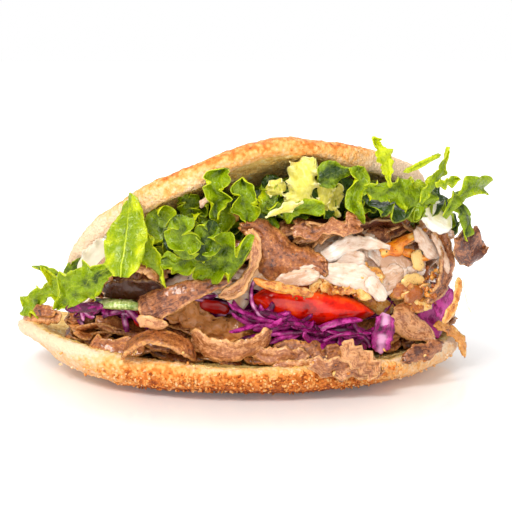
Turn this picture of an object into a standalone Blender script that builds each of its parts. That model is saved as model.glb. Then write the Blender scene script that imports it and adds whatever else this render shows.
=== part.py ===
"""Doner kebab sandwich: a round flatbread cut open like a clam and filled with meat, cabbage and salad.

It stands on the flat of its lower crust. +X runs along the mouth, +Y points from the mouth to the
hinge at the back, +Z is up, and the origin lies in the flat that it rests on. Sizes are in
millimetres until a mesh is finished, when MM turns them into Blender's metres.

The order of making is the order of filling: the bread, then the beds that run through its pocket,
then the loose slices and leaves, each pushed into the pile until it meets what is already there.
"""

import math
from dataclasses import dataclass

import bmesh
import bpy
from mathutils import Matrix, Vector, noise
from mathutils.bvhtree import BVHTree

MM = 0.001

# The bread, whose two halves are turned shapes drawn out to an egg-shaped plan.
# A plan is how far it reaches right, left, forward and back, and how square it is from 2, an oval.
CRUST_PLAN = (99.0, 114.0, 68.0, 68.0, 2.0)
LID_PLAN = (90.0, 88.0, 72.0, 72.0, 2.0)
TIP_SWEEP = 14.0  # how far the ends lie behind the middle, at 100 mm out
TIP_LIFT = 8.0  # how far the left tip curls off the table
TIP_START = 52.0  # from here outwards on the left
TIP_CURVE = 1.5
LIP_HEIGHT = 13.8  # top of the lower bread's cut rim
CRUMB_FLOOR = 9.5  # top of the pressed crumb under the filling
REST_SHARE = 0.62  # the part of the lower bread that lies flat
LID_THICKNESS = 11.5
LID_CENTRE = (-3.0, 10.0, 61.5)
LID_TILT = 30.0  # the mouth gapes by this much, in degrees
LID_ROLL = 14.0  # and more on the right than on the left
BREAD_SIDES = 41  # odd, so that no line across the flat runs through the origin
CRUST_LUMPS = 0.7
LUMP_SIZE = 26.0
LID_ARCH = 5.5  # how far the lid bulges up, over this much of it about this X
ARCH_CENTRE = 25.0
ARCH_SPREAD = 30.0
HINGE_MIDDLE = 97.0  # degrees from +X, round the back
HINGE_SPREAD = 56.0  # and this far to each side
HINGE_THICKNESS = 14.0
HINGE_FOOT = 5.5  # its middle's height in the lower bread
HINGE_TOP = 5.0  # and above the lid's own plane
HINGE_INSET = 0.94  # as a share of the way out to the crust
WEB_START = 0.45  # from this share of the spread outwards the hinge hangs lower
WEB_DROP = 0.85
HINGE_STEPS = 18
HINGE_SIDES = 8

# The beds of filling, shared out between the floor and the roof of the pocket.
BED_PLAN = (97.0, 86.0, 57.0, 46.0, 2.7)  # in the plane of the lid
BED_SIDES = 26
BED_WAVES = 0.05  # unevenness of the beds' meeting faces, as a share of the height
BED_RIM = 0.035  # unevenness of their outline
BED_WAVE_SIZE = 15.0
POCKET_START = 18.0  # a height that lies between the two halves of bread everywhere
FLOOR_MARGIN = 0.9
ROOF_MARGIN = 1.2
CLEARANCE = 0.4  # between pieces that touch

# Pushing a loose piece home.
APPROACH = 60.0
STRIDE = 2.0
CREEP = 0.2
REACH = 34.0
MOUTH_EASE = 0.65  # pieces turn with the rim of the mouth, but by less
MOUTH_END = 0.9  # and no further from this share of its reach outwards

RUFFLE_LAG = 1.3  # how far, in radians, the two edges of a sheet are out of step
CORNER_ROUND = 0.10  # how far a sheet's corners draw in, as a share of its length
END_ROUND = 2.2
WEDGE_TAPER = 0.45  # a tomato wedge's point
WEDGE_BACK = 0.6  # and how flat it is behind

MEAT_THICK = 2.3
LEAF_THICK = 1.2
CABBAGE_THICK = 1.5
INWARD = (-0.5, 0.87, 0.0)  # into the pile from its right-hand corner
OVER_RIM = (0.0, 1.0, -0.5)  # in over the lower bread's rim and down behind it

# Colours are linear RGB, then roughness.
FINISHES = {
    "crust": ((0.80, 0.47, 0.19), 0.75),
    "meat": ((0.36, 0.15, 0.065), 0.45),
    "meat_pale": ((0.55, 0.29, 0.17), 0.45),
    "purple_cabbage": ((0.26, 0.02, 0.16), 0.35),
    "white_cabbage": ((0.86, 0.72, 0.56), 0.4),
    "tomato": ((0.72, 0.05, 0.015), 0.25),
    "cucumber": ((0.22, 0.34, 0.10), 0.3),
    "onion": ((0.85, 0.80, 0.70), 0.3),
    "carrot": ((0.72, 0.22, 0.03), 0.4),
    "leaf": ((0.17, 0.36, 0.02), 0.4),
    "leaf_pale": ((0.62, 0.66, 0.16), 0.4),
}


@dataclass
class Sheet:
    """A slice, leaf or strip, seen from the mouth.

    at is the middle of the piece: X, Z, and how deep it would lie with nothing behind it.
    heading turns its length anticlockwise from +X, lean tips its far end towards the viewer, and
    roll turns it about its own length, from facing the viewer at 0 to edge-on at 90. curl bends
    it along its length, cup across it, sweep within its own face and twist about its length, all
    in degrees over the whole piece. foot and tip are its end widths as shares of the width.
    """

    name: str
    finish: str
    at: tuple
    length: float
    width: float
    heading: float = 0.0
    lean: float = 0.0
    roll: float = 0.0
    curl: float = 0.0
    cup: float = 0.0
    sweep: float = 0.0
    twist: float = 0.0
    foot: float = 0.75
    tip: float = 0.75
    frill: float = 0.0
    waves: float = 2.0
    thick: float = MEAT_THICK
    push: tuple = (0.0, 1.0, 0.0)
    steps: int = 6
    lanes: int = 2


# What lies deepest in the mouth comes first. A wedge is bellied, a disc is round, a sheet is neither.
FIRM_PIECES = (
    Sheet("tomato_wedge", "tomato", (27, 37.5, -50), 54, 17, heading=-9, roll=-14, thick=14),
    Sheet("tomato_piece", "tomato", (-48, 33, -46), 14, 10, heading=70, thick=7),
    Sheet("cucumber_slice", "cucumber", (-58, 38.5, -42), 24, 14, roll=84, thick=5.0),
    Sheet("cucumber_end", "cucumber", (82, 38, -38), 16, 12, heading=8, roll=80, thick=4.0),
)

INNER_PIECES = (
    Sheet(
        "purple_strands", "purple_cabbage", (26, 27, -54), 60, 8, heading=-14, sweep=30,
        cup=-40, thick=2.0,
    ),
    Sheet(
        "purple_band", "purple_cabbage", (57, 26, -54), 17, 10, heading=80, cup=35,
        thick=CABBAGE_THICK,
    ),
    Sheet("slaw_middle", "white_cabbage", (41, 48.5, -48), 34, 12, heading=-5, roll=-24, cup=-35),
    Sheet("slaw_top", "white_cabbage", (46, 60, -46), 31, 9.5, heading=-3, roll=-20, cup=-30),
    Sheet("slaw_right", "white_cabbage", (67, 51, -44), 18, 15, heading=25, roll=-12, cup=-40),
    Sheet("slaw_flake", "white_cabbage", (72, 40, -46), 18, 9, heading=-62, cup=-35, tip=0.5),
    Sheet(
        "purple_chunk", "purple_cabbage", (83, 24.5, -36), 17, 13, heading=-62, cup=-50,
        thick=2.4, tip=0.6,
    ),
    Sheet(
        "purple_lobe", "purple_cabbage", (89, 35, -30), 14, 12, heading=60, cup=-60,
        thick=CABBAGE_THICK, tip=0.5, push=INWARD,
    ),
    Sheet("meat_low_hump", "meat", (-19, 31, -50), 38, 18, heading=-24, roll=-8, cup=-60, tip=0.6),
    Sheet("meat_low_fold", "meat", (72, 27, -44), 18, 14, heading=-30, roll=-10, cup=-60),
    Sheet(
        "meat_low_left", "meat", (-60, 22, -48), 24, 11, heading=-9, roll=-32, cup=40,
        push=OVER_RIM,
    ),
    Sheet(
        "meat_low_arch", "meat_pale", (-39, 21, -54), 36, 12, heading=4, roll=62, curl=100,
        push=OVER_RIM,
    ),
    Sheet(
        "meat_low_right", "meat_pale", (75, 16, -46), 26, 11, heading=14, roll=-12, cup=-30,
        push=OVER_RIM,
    ),
    Sheet(
        "meat_low_ragged", "meat", (21, 19, -54), 40, 12, heading=-2, roll=-28, cup=25,
        push=OVER_RIM,
    ),
    Sheet(
        "meat_low_smile", "meat_pale", (-8, 19, -56), 38, 10, roll=58, curl=-105, tip=0.6,
        push=OVER_RIM,
    ),
    Sheet(
        "meat_tip_left", "meat", (-99, 28, -8), 24, 9, heading=8, roll=-20, cup=30,
        push=(0.4, 0.6, -0.7),
    ),
    Sheet(
        "meat_saddle", "meat", (13, 65.5, -50), 43, 23, heading=-29, roll=-6, cup=-55, foot=0.3,
        tip=0.9,
    ),
    Sheet("meat_hollow", "meat_pale", (54, 72, -44), 27, 11, heading=8, roll=60, curl=55),
    Sheet("meat_hook", "meat_pale", (-5, 56, -52), 34, 9, heading=-106, roll=66, curl=-80),
    Sheet("meat_arch", "meat_pale", (-51, 52.5, -48), 38, 14, heading=4, roll=58, curl=95),
    Sheet("meat_tongue", "meat_pale", (-29, 44, -52), 42, 15, heading=22, roll=-22, foot=0.9, tip=0.5),
    Sheet("meat_ragged_top", "meat_pale", (32, 73.5, -50), 28, 9, heading=6, roll=-25),
    Sheet("meat_pale_right", "meat_pale", (82, 65, -36), 19, 11, heading=-40, roll=-12, cup=-25),
    Sheet("meat_on_rim", "meat_pale", (40, 15, -67), 34, 10, heading=-7, roll=12, cup=-30),
    Sheet(
        "meat_roll", "meat", (88, 54, -28), 40, 16, heading=-86, roll=58, curl=140, steps=8,
        push=INWARD,
    ),
    Sheet("meat_flag", "meat", (99, 61, -26), 20, 14, heading=-6, cup=-20, push=INWARD),
)

OUTER_PIECES = (
    Sheet("onion_ring", "purple_cabbage", (1.5, 40, -56), 25, 2.4, heading=-72, sweep=115, thick=1.6),
    Sheet("onion_piece", "onion", (83, 75, -36), 16, 13, heading=-35, roll=-15, cup=-40, thick=2.2),
    Sheet("carrot_upper", "carrot", (67, 64.5, -50), 23, 6, heading=24, roll=-15, foot=0.9, tip=0.3),
    Sheet("carrot_lower", "carrot", (12, 49, -56), 22, 3.4, heading=-18, roll=-30, tip=0.4),
    Sheet(
        "strand_right", "meat_pale", (102, 18, -24), 30, 5, heading=-38, sweep=-75, thick=1.8,
        push=INWARD, tip=0.5,
    ),
)

LEAVES = (
    Sheet(
        "leaf_tip_left", "leaf", (-101, 39, -8), 30, 15, heading=190, roll=-8, cup=30, twist=30,
        frill=1.6, foot=0.9, tip=0.3, steps=8, lanes=4, thick=LEAF_THICK, push=(0.5, 0.7, -0.3),
    ),
    Sheet(
        "leaf_sprawl", "leaf", (-72, 47, -48), 34, 21, heading=207, roll=-6, cup=-45,
        frill=1.6, foot=0.7, tip=0.4, steps=8, lanes=4, thick=LEAF_THICK,
    ),
    Sheet(
        "leaf_spear", "leaf", (-54, 72, -50), 42, 19, heading=94, lean=-36, cup=45, curl=-20,
        foot=0.9, tip=0.1, steps=8, lanes=4, thick=LEAF_THICK,
    ),
    Sheet(
        "leaf_crisp", "leaf", (-33, 67.5, -48), 20, 16, heading=-20, cup=50, frill=2.0,
        foot=0.8, tip=0.7, steps=8, lanes=4, thick=LEAF_THICK,
    ),
    Sheet(
        "leaf_lobe_left", "leaf", (-14.5, 88, -50), 20, 12, heading=82, cup=50, frill=0.8,
        foot=0.8, tip=0.4, steps=8, lanes=4, thick=LEAF_THICK,
    ),
    Sheet(
        "leaf_lobe_middle", "leaf", (-3, 85.5, -50), 17, 13, heading=98, cup=55, frill=0.8,
        foot=0.8, tip=0.4, steps=8, lanes=4, thick=LEAF_THICK,
    ),
    Sheet(
        "leaf_heart", "leaf_pale", (21, 91, -50), 22, 17, heading=64, roll=-10, cup=-50, frill=1.2,
        foot=0.6, tip=0.8, steps=8, lanes=4, thick=LEAF_THICK,
    ),
    Sheet(
        "leaf_under_heart", "leaf", (19, 80.5, -52), 23, 9, heading=4, roll=20, cup=-40, frill=1.6,
        foot=0.7, tip=0.6, steps=8, lanes=4, thick=LEAF_THICK,
    ),
    Sheet(
        "leaf_dark_lobe", "leaf", (36, 95.5, -50), 15, 12, heading=18, cup=-40, frill=0.8,
        foot=0.7, tip=0.5, steps=8, lanes=4, thick=LEAF_THICK,
    ),
    Sheet(
        "leaf_curtain", "leaf", (46, 86.5, -50), 24, 10, heading=-76, cup=60, frill=1.2,
        foot=0.9, tip=0.2, steps=8, lanes=4, thick=LEAF_THICK,
    ),
    Sheet(
        "leaf_jagged", "leaf", (64, 85, -50), 35, 18, heading=-12, roll=-8, cup=-45, frill=1.8,
        foot=0.6, tip=0.5, steps=10, lanes=4, thick=LEAF_THICK,
    ),
    Sheet(
        "leaf_feather", "leaf_pale", (55, 101.5, -50), 21, 9, heading=108, cup=30, frill=1.0,
        foot=0.9, tip=0.2, steps=8, lanes=4, thick=LEAF_THICK,
    ),
    Sheet(
        "leaf_upright_right", "leaf", (79, 95, -44), 26, 9, heading=56, cup=40, frill=1.0,
        foot=0.6, tip=0.3, steps=8, lanes=4, thick=LEAF_THICK,
    ),
    Sheet(
        "leaf_behind_onion", "leaf", (93, 76, -34), 21, 9, heading=-62, cup=-40, frill=0.8,
        foot=0.6, tip=0.6, steps=8, lanes=4, thick=LEAF_THICK, push=INWARD,
    ),
    Sheet(
        "leaf_tip_right", "leaf", (100, 84, -38), 38, 11, heading=32, cup=35, curl=-30, frill=0.8,
        foot=0.5, tip=0.7, steps=8, lanes=4, thick=LEAF_THICK, push=INWARD,
    ),
    Sheet(
        "leaf_apron", "leaf", (-19, 62, -58), 36, 20, heading=-14, roll=14, cup=-40, frill=2.4,
        foot=0.6, tip=0.8, steps=10, lanes=4, thick=LEAF_THICK,
    ),
)


def plan_radius(angle, plan):
    """Distance to an egg-shaped outline of (right, left, front, back, squareness), along angle."""
    right, left, front, back, squareness = plan
    along = abs(math.cos(angle)) / (right if math.cos(angle) > 0 else left)
    across = abs(math.sin(angle)) / (back if math.sin(angle) > 0 else front)
    return (along**squareness + across**squareness) ** (-1.0 / squareness)


def turned(section, sides):
    """A closed solid turned from a section of (share of the radius, height) points, with radius 1."""
    bm = bmesh.new()
    points = [bm.verts.new((share, 0.0, height)) for share, height in section]
    edges = [bm.edges.new(pair) for pair in zip(points, points[1:])]
    bmesh.ops.spin(
        bm,
        geom=points + edges,
        cent=(0, 0, 0),
        axis=(0, 0, 1),
        angle=math.tau,
        steps=sides,
        use_merge=True,
    )
    bmesh.ops.remove_doubles(bm, verts=bm.verts, dist=1e-5)
    bmesh.ops.recalc_face_normals(bm, faces=bm.faces)
    return bm


def stretch_to_plan(bm, plan):
    """Draws a turned solid out to its plan, with its two ends swept back."""
    for vert in bm.verts:
        share = math.hypot(vert.co.x, vert.co.y)
        angle = math.atan2(vert.co.y, vert.co.x)
        radius = share * plan_radius(angle, plan)
        x = radius * math.cos(angle)
        vert.co.x = x
        vert.co.y = radius * math.sin(angle) + TIP_SWEEP * (x / 100.0) ** 2


def lump(point):
    """How far the crust stands out or in at a place, in millimetres."""
    return CRUST_LUMPS * noise.noise(Vector(point) / LUMP_SIZE)


def lower_bread():
    """The lower half: flat where it rests, round at the crust, pressed hollow under the filling."""
    section = (
        (REST_SHARE, 0.0), (0.78, 0.9), (0.91, 3.4), (0.98, 6.6), (1.0, 9.6),
        (0.985, 12.4), (0.94, LIP_HEIGHT), (0.87, 12.0), (0.6, CRUMB_FLOOR + 0.6),
        (0.0, CRUMB_FLOOR),
    )
    bm = turned(section, BREAD_SIDES)
    bmesh.ops.holes_fill(bm, edges=[edge for edge in bm.edges if edge.is_boundary])
    bmesh.ops.recalc_face_normals(bm, faces=bm.faces)
    stretch_to_plan(bm, CRUST_PLAN)
    for vert in bm.verts:
        curl = max(0.0, -vert.co.x - TIP_START) / (CRUST_PLAN[1] - TIP_START)
        on_table = vert.co.z < 0.01
        vert.co.z += 0.0 if on_table else TIP_LIFT * curl**TIP_CURVE + lump(vert.co)
    return bm


def lid_matrix():
    """Where the upper bread's own plane lies: tipped open about the hinge, and rolled."""
    roll = Matrix.Rotation(math.radians(-LID_ROLL), 4, "Y")
    tilt = Matrix.Rotation(math.radians(-LID_TILT), 4, "X")
    return Matrix.Translation(LID_CENTRE) @ roll @ tilt


def upper_bread():
    """The upper half: a low dome with a round crust lip, open below."""
    section = (
        (0.0, 5.5), (0.5, 4.6), (0.8, 2.0), (0.93, 0.0), (0.985, 1.4), (1.0, 4.4),
        (0.98, 7.6), (0.91, 10.4), (0.76, 13.6), (0.5, 16.0), (0.0, 5.5 + LID_THICKNESS),
    )
    bm = turned(section, BREAD_SIDES)
    stretch_to_plan(bm, LID_PLAN)
    for vert in bm.verts:
        arch = LID_ARCH * math.exp(-(((vert.co.x - ARCH_CENTRE) / ARCH_SPREAD) ** 2))
        vert.co.z += arch + lump(vert.co + Vector(LID_CENTRE))
    bm.transform(lid_matrix())
    return bm


def hinge():
    """The uncut back of the bread, a thick curved bar from the lower crust up to the lid."""
    lid = lid_matrix()
    bm = bmesh.new()
    ring = []
    for step in range(HINGE_STEPS + 1):
        side = -1.0 + 2.0 * step / HINGE_STEPS
        angle = math.radians(HINGE_MIDDLE + side * HINGE_SPREAD)
        low = plan_radius(angle, CRUST_PLAN) * HINGE_INSET
        foot = Vector((low * math.cos(angle), low * math.sin(angle), HINGE_FOOT))
        foot.y += TIP_SWEEP * (foot.x / 100.0) ** 2
        high = plan_radius(angle, LID_PLAN) * HINGE_INSET
        top = Vector((high * math.cos(angle), high * math.sin(angle), HINGE_TOP))
        top.y += TIP_SWEEP * (top.x / 100.0) ** 2
        top = lid @ top
        # The web that joins the halves hangs lower towards its ends, where the cut stopped.
        drop = WEB_DROP * max(0.0, abs(side) - WEB_START) / (1.0 - WEB_START)
        top = foot.lerp(top, 1.0 - drop)
        outward = Vector((math.cos(angle), math.sin(angle), 0.0))
        half = 0.5 * HINGE_THICKNESS * math.sqrt(1.04 - side * side)
        middle = foot.lerp(top, 0.5)
        rise = 0.5 * (top - foot)
        before = ring
        ring = [
            bm.verts.new(middle + rise * math.sin(turn) + outward * half * math.cos(turn))
            for turn in (math.tau * k / HINGE_SIDES for k in range(HINGE_SIDES))
        ]
        if before:
            for k in range(HINGE_SIDES):
                bm.faces.new((before[k], before[k - 1], ring[k - 1], ring[k]))
        else:
            bm.faces.new(ring)
    bm.faces.new(reversed(ring))
    bmesh.ops.recalc_face_normals(bm, faces=bm.faces)
    return bm


class Pile:
    """What has been laid so far, for the next piece to be pushed against."""

    def __init__(self):
        self.points = []
        self.faces = []

    def add(self, bm):
        """Adds a solid that has come to its place."""
        start = len(self.points)
        bm.verts.index_update()
        self.points += [vert.co.copy() for vert in bm.verts]
        self.faces += [[start + vert.index for vert in face.verts] for face in bm.faces]

    def tree(self):
        """A search tree of the surface of all that is laid."""
        return BVHTree.FromPolygons(self.points, self.faces)


def material(finish):
    """The finish's material, made the first time that it is asked for."""
    found = bpy.data.materials.get(finish)
    if found:
        return found
    colour, roughness = FINISHES[finish]
    made = bpy.data.materials.new(finish)
    made.use_nodes = True
    shader = made.node_tree.nodes["Principled BSDF"]
    shader.inputs["Base Color"].default_value = (*colour, 1.0)
    shader.inputs["Roughness"].default_value = roughness
    made.diffuse_color = (*colour, 1.0)
    return made


def finish_object(name, bm, finish):
    """Makes the named object of a solid in millimetres, in metres and shaded smooth."""
    bmesh.ops.triangulate(bm, faces=bm.faces)
    mesh = bpy.data.meshes.new(name)
    bm.to_mesh(mesh)
    mesh.transform(Matrix.Scale(MM, 4))
    mesh.shade_smooth()
    mesh.set_sharp_from_angle(angle=math.radians(50))
    mesh.materials.append(material(finish))
    made = bpy.data.objects.new(name, mesh)
    bpy.context.scene.collection.objects.link(made)
    return made


def build_bread(pile):
    """The bread in one piece: both halves joined by the uncut hinge."""
    bread = finish_object("bread", lower_bread(), "crust")
    for name, bm in (("lid_tool", upper_bread()), ("hinge_tool", hinge())):
        tool = finish_object(name, bm, "crust")
        tool.hide_render = True
        tool.display_type = "WIRE"
        union = bread.modifiers.new(name, "BOOLEAN")
        union.operation = "UNION"
        union.object = tool
    bpy.context.view_layer.update()
    joined = bmesh.new()
    joined.from_object(bread, bpy.context.evaluated_depsgraph_get())
    joined.transform(Matrix.Scale(1.0 / MM, 4))
    pile.add(joined)
    joined.free()


def pocket_levels(tree, x, y):
    """Heights of the pocket's floor and roof over a point, between the two halves of bread."""
    start = Vector((x, y, POCKET_START))
    below = tree.ray_cast(start, Vector((0, 0, -1)))[0]
    above = tree.ray_cast(start, Vector((0, 0, 1)))[0]
    floor = below.z if below else LIP_HEIGHT
    if above is None:
        # The filling spills out past the lid here, and stops level with the lid's rim.
        lid = lid_matrix()
        normal = lid.col[2].to_3d()
        above = Vector((x, y, lid.translation.z))
        above.z -= normal.dot(above - lid.translation) / normal.z
    return floor + FLOOR_MARGIN, above.z - ROOF_MARGIN


# The share of the pocket's height at which each bed ends, at the left end and the right end.
BEDS = (
    ("meat_bed", "meat", (0.0, 0.0), (0.30, 0.18)),
    ("purple_cabbage_bed", "purple_cabbage", (0.30, 0.18), (0.42, 0.36)),
    ("slaw_bed", "white_cabbage", (0.42, 0.36), (0.52, 0.60)),
    ("meat_bed_upper", "meat_pale", (0.52, 0.60), (0.68, 0.78)),
    ("salad_bed", "leaf", (0.68, 0.78), (1.0, 1.0)),
)


def build_bed(pile, tree, index):
    """One bed of filling, which runs from the mouth through to the hinge."""
    name, finish, lower, upper = BEDS[index]
    section = (
        (0.0, 0.0), (0.45, 0.0), (0.8, 0.0), (0.96, 0.06), (1.0, 0.5), (0.96, 0.94),
        (0.8, 1.0), (0.45, 1.0), (0.0, 1.0),
    )
    bm = turned(section, BED_SIDES)
    # The turned solid's height is a share until here, so it is kept aside from the plan.
    shares = {vert: vert.co.z for vert in bm.verts}
    stretch_to_plan(bm, BED_PLAN)
    lid = lid_matrix()
    for vert, share in shares.items():
        rim = 1.0 + BED_RIM * noise.noise(Vector((vert.co.x, vert.co.y, 0.5)) / BED_WAVE_SIZE)
        x, y, _ = lid @ Vector((vert.co.x * rim, vert.co.y * rim, 0.0))
        floor, roof = pocket_levels(tree, x, y)
        right = (x + BED_PLAN[1]) / (BED_PLAN[0] + BED_PLAN[1])
        ends = []
        for left_share, right_share in (lower, upper):
            level = left_share + (right_share - left_share) * right
            inside = 4.0 * level * (1.0 - level)
            place = Vector((x, y, BED_PLAN[0] * len(BEDS) * level)) / BED_WAVE_SIZE
            wave = BED_WAVES * inside * noise.noise(place)
            ends.append(floor + (level + wave) * (roof - floor))
        low, high = ends[0] + 0.5 * CLEARANCE, ends[1] - 0.5 * CLEARANCE
        vert.co = Vector((x, y, low + share * (high - low)))
    pile.add(bm)
    finish_object(name, bm, finish)


def spine(sheet):
    """The frames along a sheet's middle line, as (point, rotation), with the middle one at home."""
    step_length = sheet.length / sheet.steps
    turn = (
        Matrix.Rotation(math.radians(-sheet.curl / sheet.steps), 3, "Y")
        @ Matrix.Rotation(math.radians(sheet.sweep / sheet.steps), 3, "Z")
        @ Matrix.Rotation(math.radians(sheet.twist / sheet.steps), 3, "X")
    )
    frames = [(Vector(), Matrix.Identity(3))]
    for _ in range(sheet.steps):
        point, rotation = frames[-1]
        rotation = rotation @ turn
        frames.append((point + rotation.col[0] * step_length, rotation))
    middle = sheet.steps // 2
    home, back = frames[middle][0], frames[middle][1].transposed()
    return [(back @ (point - home), back @ rotation) for point, rotation in frames]


def width_at(sheet, share):
    """Half the sheet's width at a share of its length, full in the middle and narrower at its ends."""
    end = sheet.foot if share < 0.5 else sheet.tip
    out = abs(2.0 * share - 1.0)
    return 0.5 * sheet.width * (1.0 - (1.0 - end) * out**END_ROUND)


def cross_section(sheet, reach, across):
    """A place on the sheet's cupped cross-section, -1 to 1 across, and the way its face points."""
    bend = math.radians(0.5 * sheet.cup) * across
    if abs(sheet.cup) < 1.0:
        return Vector((0, reach * across, 0)), Vector((0, 0, 1))
    radius = reach / abs(math.radians(0.5 * sheet.cup))
    side = math.copysign(radius * math.sin(abs(bend)), across)
    sink = math.copysign(radius * (1.0 - math.cos(bend)), sheet.cup)
    return Vector((0, side, sink)), Vector((0, -math.sin(bend), math.cos(bend)))


def sheet_face(bm, sheet, face, grow):
    """The rows of points of one face of a sheet: the far one at face -1, the near one at 1."""
    rows = []
    for step, (point, rotation) in enumerate(spine(sheet)):
        share = step / sheet.steps
        ends = grow * (2.0 * share - 1.0) if step in (0, sheet.steps) else 0.0
        row = []
        for lane in range(-sheet.lanes, sheet.lanes + 1, 2):
            across = lane / sheet.lanes
            side, normal = cross_section(sheet, width_at(sheet, share) + grow, across)
            ruffle = math.sin(math.tau * sheet.waves * share + RUFFLE_LAG * across)
            side.z += sheet.frill * across * across * ruffle
            corner = CORNER_ROUND * sheet.length * (2.0 * share - 1.0) ** 3
            side.x += ends - corner * across * across
            side += normal * (0.5 * sheet.thick + grow) * face
            row.append(bm.verts.new(point + rotation @ side))
        rows.append(row)
    return rows


def rim_of(rows):
    """The points round the edge of a grid of rows, in order."""
    there = [row[0] for row in rows]
    back = [row[-1] for row in reversed(rows)]
    return there + rows[-1][1:-1] + back + rows[0][-2:0:-1]


def sheet_solid(sheet, grow=0.0):
    """The sheet as a closed solid about its own middle, facing +Z. grow thickens it all round."""
    bm = bmesh.new()
    sides = [sheet_face(bm, sheet, face, grow) for face in (-1.0, 1.0)]
    for rows in sides:
        for near, far in zip(rows, rows[1:]):
            for k in range(sheet.lanes):
                bm.faces.new((near[k], far[k], far[k + 1], near[k + 1]))
    below, above = rim_of(sides[0]), rim_of(sides[1])
    for k in range(len(below)):
        bm.faces.new((below[k - 1], below[k], above[k], above[k - 1]))
    bmesh.ops.recalc_face_normals(bm, faces=bm.faces)
    return bm


def mouth_turn(x):
    """How far the rim of the mouth has turned from facing the viewer at x, eased, in radians."""
    right, left, front = CRUST_PLAN[:3]
    reach = right if x > 0 else left
    share = max(-MOUTH_END, min(MOUTH_END, x / reach))
    slope = front / reach * share / math.sqrt(1.0 - share * share) + 2.0 * TIP_SWEEP * x / 1e4
    return MOUTH_EASE * math.atan(slope)


def facing(sheet):
    """The turn that takes a sheet from its own axes to how it lies in the mouth, seen from -Y."""
    around = Matrix.Rotation(mouth_turn(sheet.at[0]), 3, "Z")
    to_viewer = Matrix(((1, 0, 0), (0, 0, -1), (0, 1, 0)))
    heading = Matrix.Rotation(math.radians(sheet.heading), 3, Vector((0, -1, 0)))
    lean = Matrix.Rotation(math.radians(-sheet.lean), 3, "Y")
    roll = Matrix.Rotation(math.radians(sheet.roll), 3, "X")
    return around @ heading @ to_viewer @ lean @ roll


def push_home(pile, sheet, solid_at):
    """Where a piece comes to rest when it is pushed into the pile from outside."""
    x, z, y = sheet.at
    aim = Vector((x, y, z))
    push = Vector(sheet.push).normalized()
    tree = pile.tree()

    def meets(distance):
        grown = solid_at(aim + push * distance, CLEARANCE)
        found = bool(BVHTree.FromBMesh(grown).overlap(tree))
        grown.free()
        return found

    distance = -APPROACH
    while not meets(distance):
        distance += STRIDE
        if distance > REACH:
            raise ValueError(f"{sheet.name} meets nothing: move it in or make it larger")
    while meets(distance):
        distance -= CREEP
    return aim + push * distance


def build_loose(pile, sheet, solid=sheet_solid):
    """A loose piece, pushed home, as an object of its own."""

    def solid_at(place, grow):
        bm = solid(sheet, grow)
        bm.transform(Matrix.Translation(place) @ facing(sheet).to_4x4())
        return bm

    bm = solid_at(push_home(pile, sheet, solid_at), 0.0)
    pile.add(bm)
    finish_object(sheet.name, bm, sheet.finish)


def wedge_solid(sheet, grow=0.0):
    """A tomato wedge: a boat of flesh that tapers to one end, with its skin bellied outwards."""
    bm = bmesh.new()
    bmesh.ops.create_uvsphere(bm, u_segments=12, v_segments=8, radius=1.0)
    for vert in bm.verts:
        x, y, z = vert.co
        full = 1.0 - WEDGE_TAPER * max(0.0, x)
        vert.co.x = x * (0.5 * sheet.length + grow)
        vert.co.y = y * (0.5 * sheet.width * full + grow)
        vert.co.z = z * (0.5 * sheet.thick + grow) * (1.0 if z > 0 else WEDGE_BACK)
    return bm


def disc_solid(sheet, grow=0.0):
    """A cucumber slice: a flat round."""
    bm = bmesh.new()
    bmesh.ops.create_cone(
        bm, cap_ends=True, segments=16, radius1=1.0, radius2=1.0, depth=1.0
    )
    for vert in bm.verts:
        vert.co.x *= 0.5 * sheet.length + grow
        vert.co.y *= 0.5 * sheet.width + grow
        vert.co.z *= sheet.thick + 2.0 * grow
    return bm


def main():
    """Clears the scene and builds every piece, from the inside of the sandwich outwards."""
    for old in list(bpy.data.objects):
        bpy.data.objects.remove(old, do_unlink=True)
    pile = Pile()
    build_bread(pile)
    bread_tree = pile.tree()
    for index in range(len(BEDS)):
        build_bed(pile, bread_tree, index)
    for sheet in FIRM_PIECES:
        build_loose(pile, sheet, wedge_solid if sheet.finish == "tomato" else disc_solid)
    for sheet in INNER_PIECES + OUTER_PIECES + LEAVES:
        build_loose(pile, sheet)


main()
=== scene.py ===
"""Looks of the doner kebab sandwich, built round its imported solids.

The bread is remeshed from its solid and baked. Every loose slice, shred and leaf is modelled again
with its edges, folds and grain, where its own solid lies. The beds of filling keep a shrunken core,
with slices, shreds and leaves heaped over it all round. Sizes are in millimetres until a mesh is
finished. +X runs along the mouth, +Y from the mouth to the hinge, and +Z is up.
"""

import logging
import math
import random
from dataclasses import dataclass, field
from enum import Enum

import bmesh
import bpy
from mathutils import Matrix, Vector, noise
from mathutils.bvhtree import BVHTree


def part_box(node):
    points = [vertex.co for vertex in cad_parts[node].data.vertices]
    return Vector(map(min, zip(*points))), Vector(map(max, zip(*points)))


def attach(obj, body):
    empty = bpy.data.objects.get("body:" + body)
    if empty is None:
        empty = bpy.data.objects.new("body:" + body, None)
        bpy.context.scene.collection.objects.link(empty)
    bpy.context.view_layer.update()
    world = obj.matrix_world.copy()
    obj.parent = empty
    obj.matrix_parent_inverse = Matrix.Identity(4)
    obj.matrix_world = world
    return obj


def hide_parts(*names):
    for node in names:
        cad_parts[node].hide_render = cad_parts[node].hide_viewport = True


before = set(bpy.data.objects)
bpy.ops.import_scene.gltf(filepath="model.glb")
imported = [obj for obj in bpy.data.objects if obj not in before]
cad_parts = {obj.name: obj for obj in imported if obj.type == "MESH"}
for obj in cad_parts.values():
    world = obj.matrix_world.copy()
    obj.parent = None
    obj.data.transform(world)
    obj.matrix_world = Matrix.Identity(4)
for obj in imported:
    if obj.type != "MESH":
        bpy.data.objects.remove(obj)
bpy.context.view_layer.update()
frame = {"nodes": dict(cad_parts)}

MM = 0.001
BODY = "root"
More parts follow.
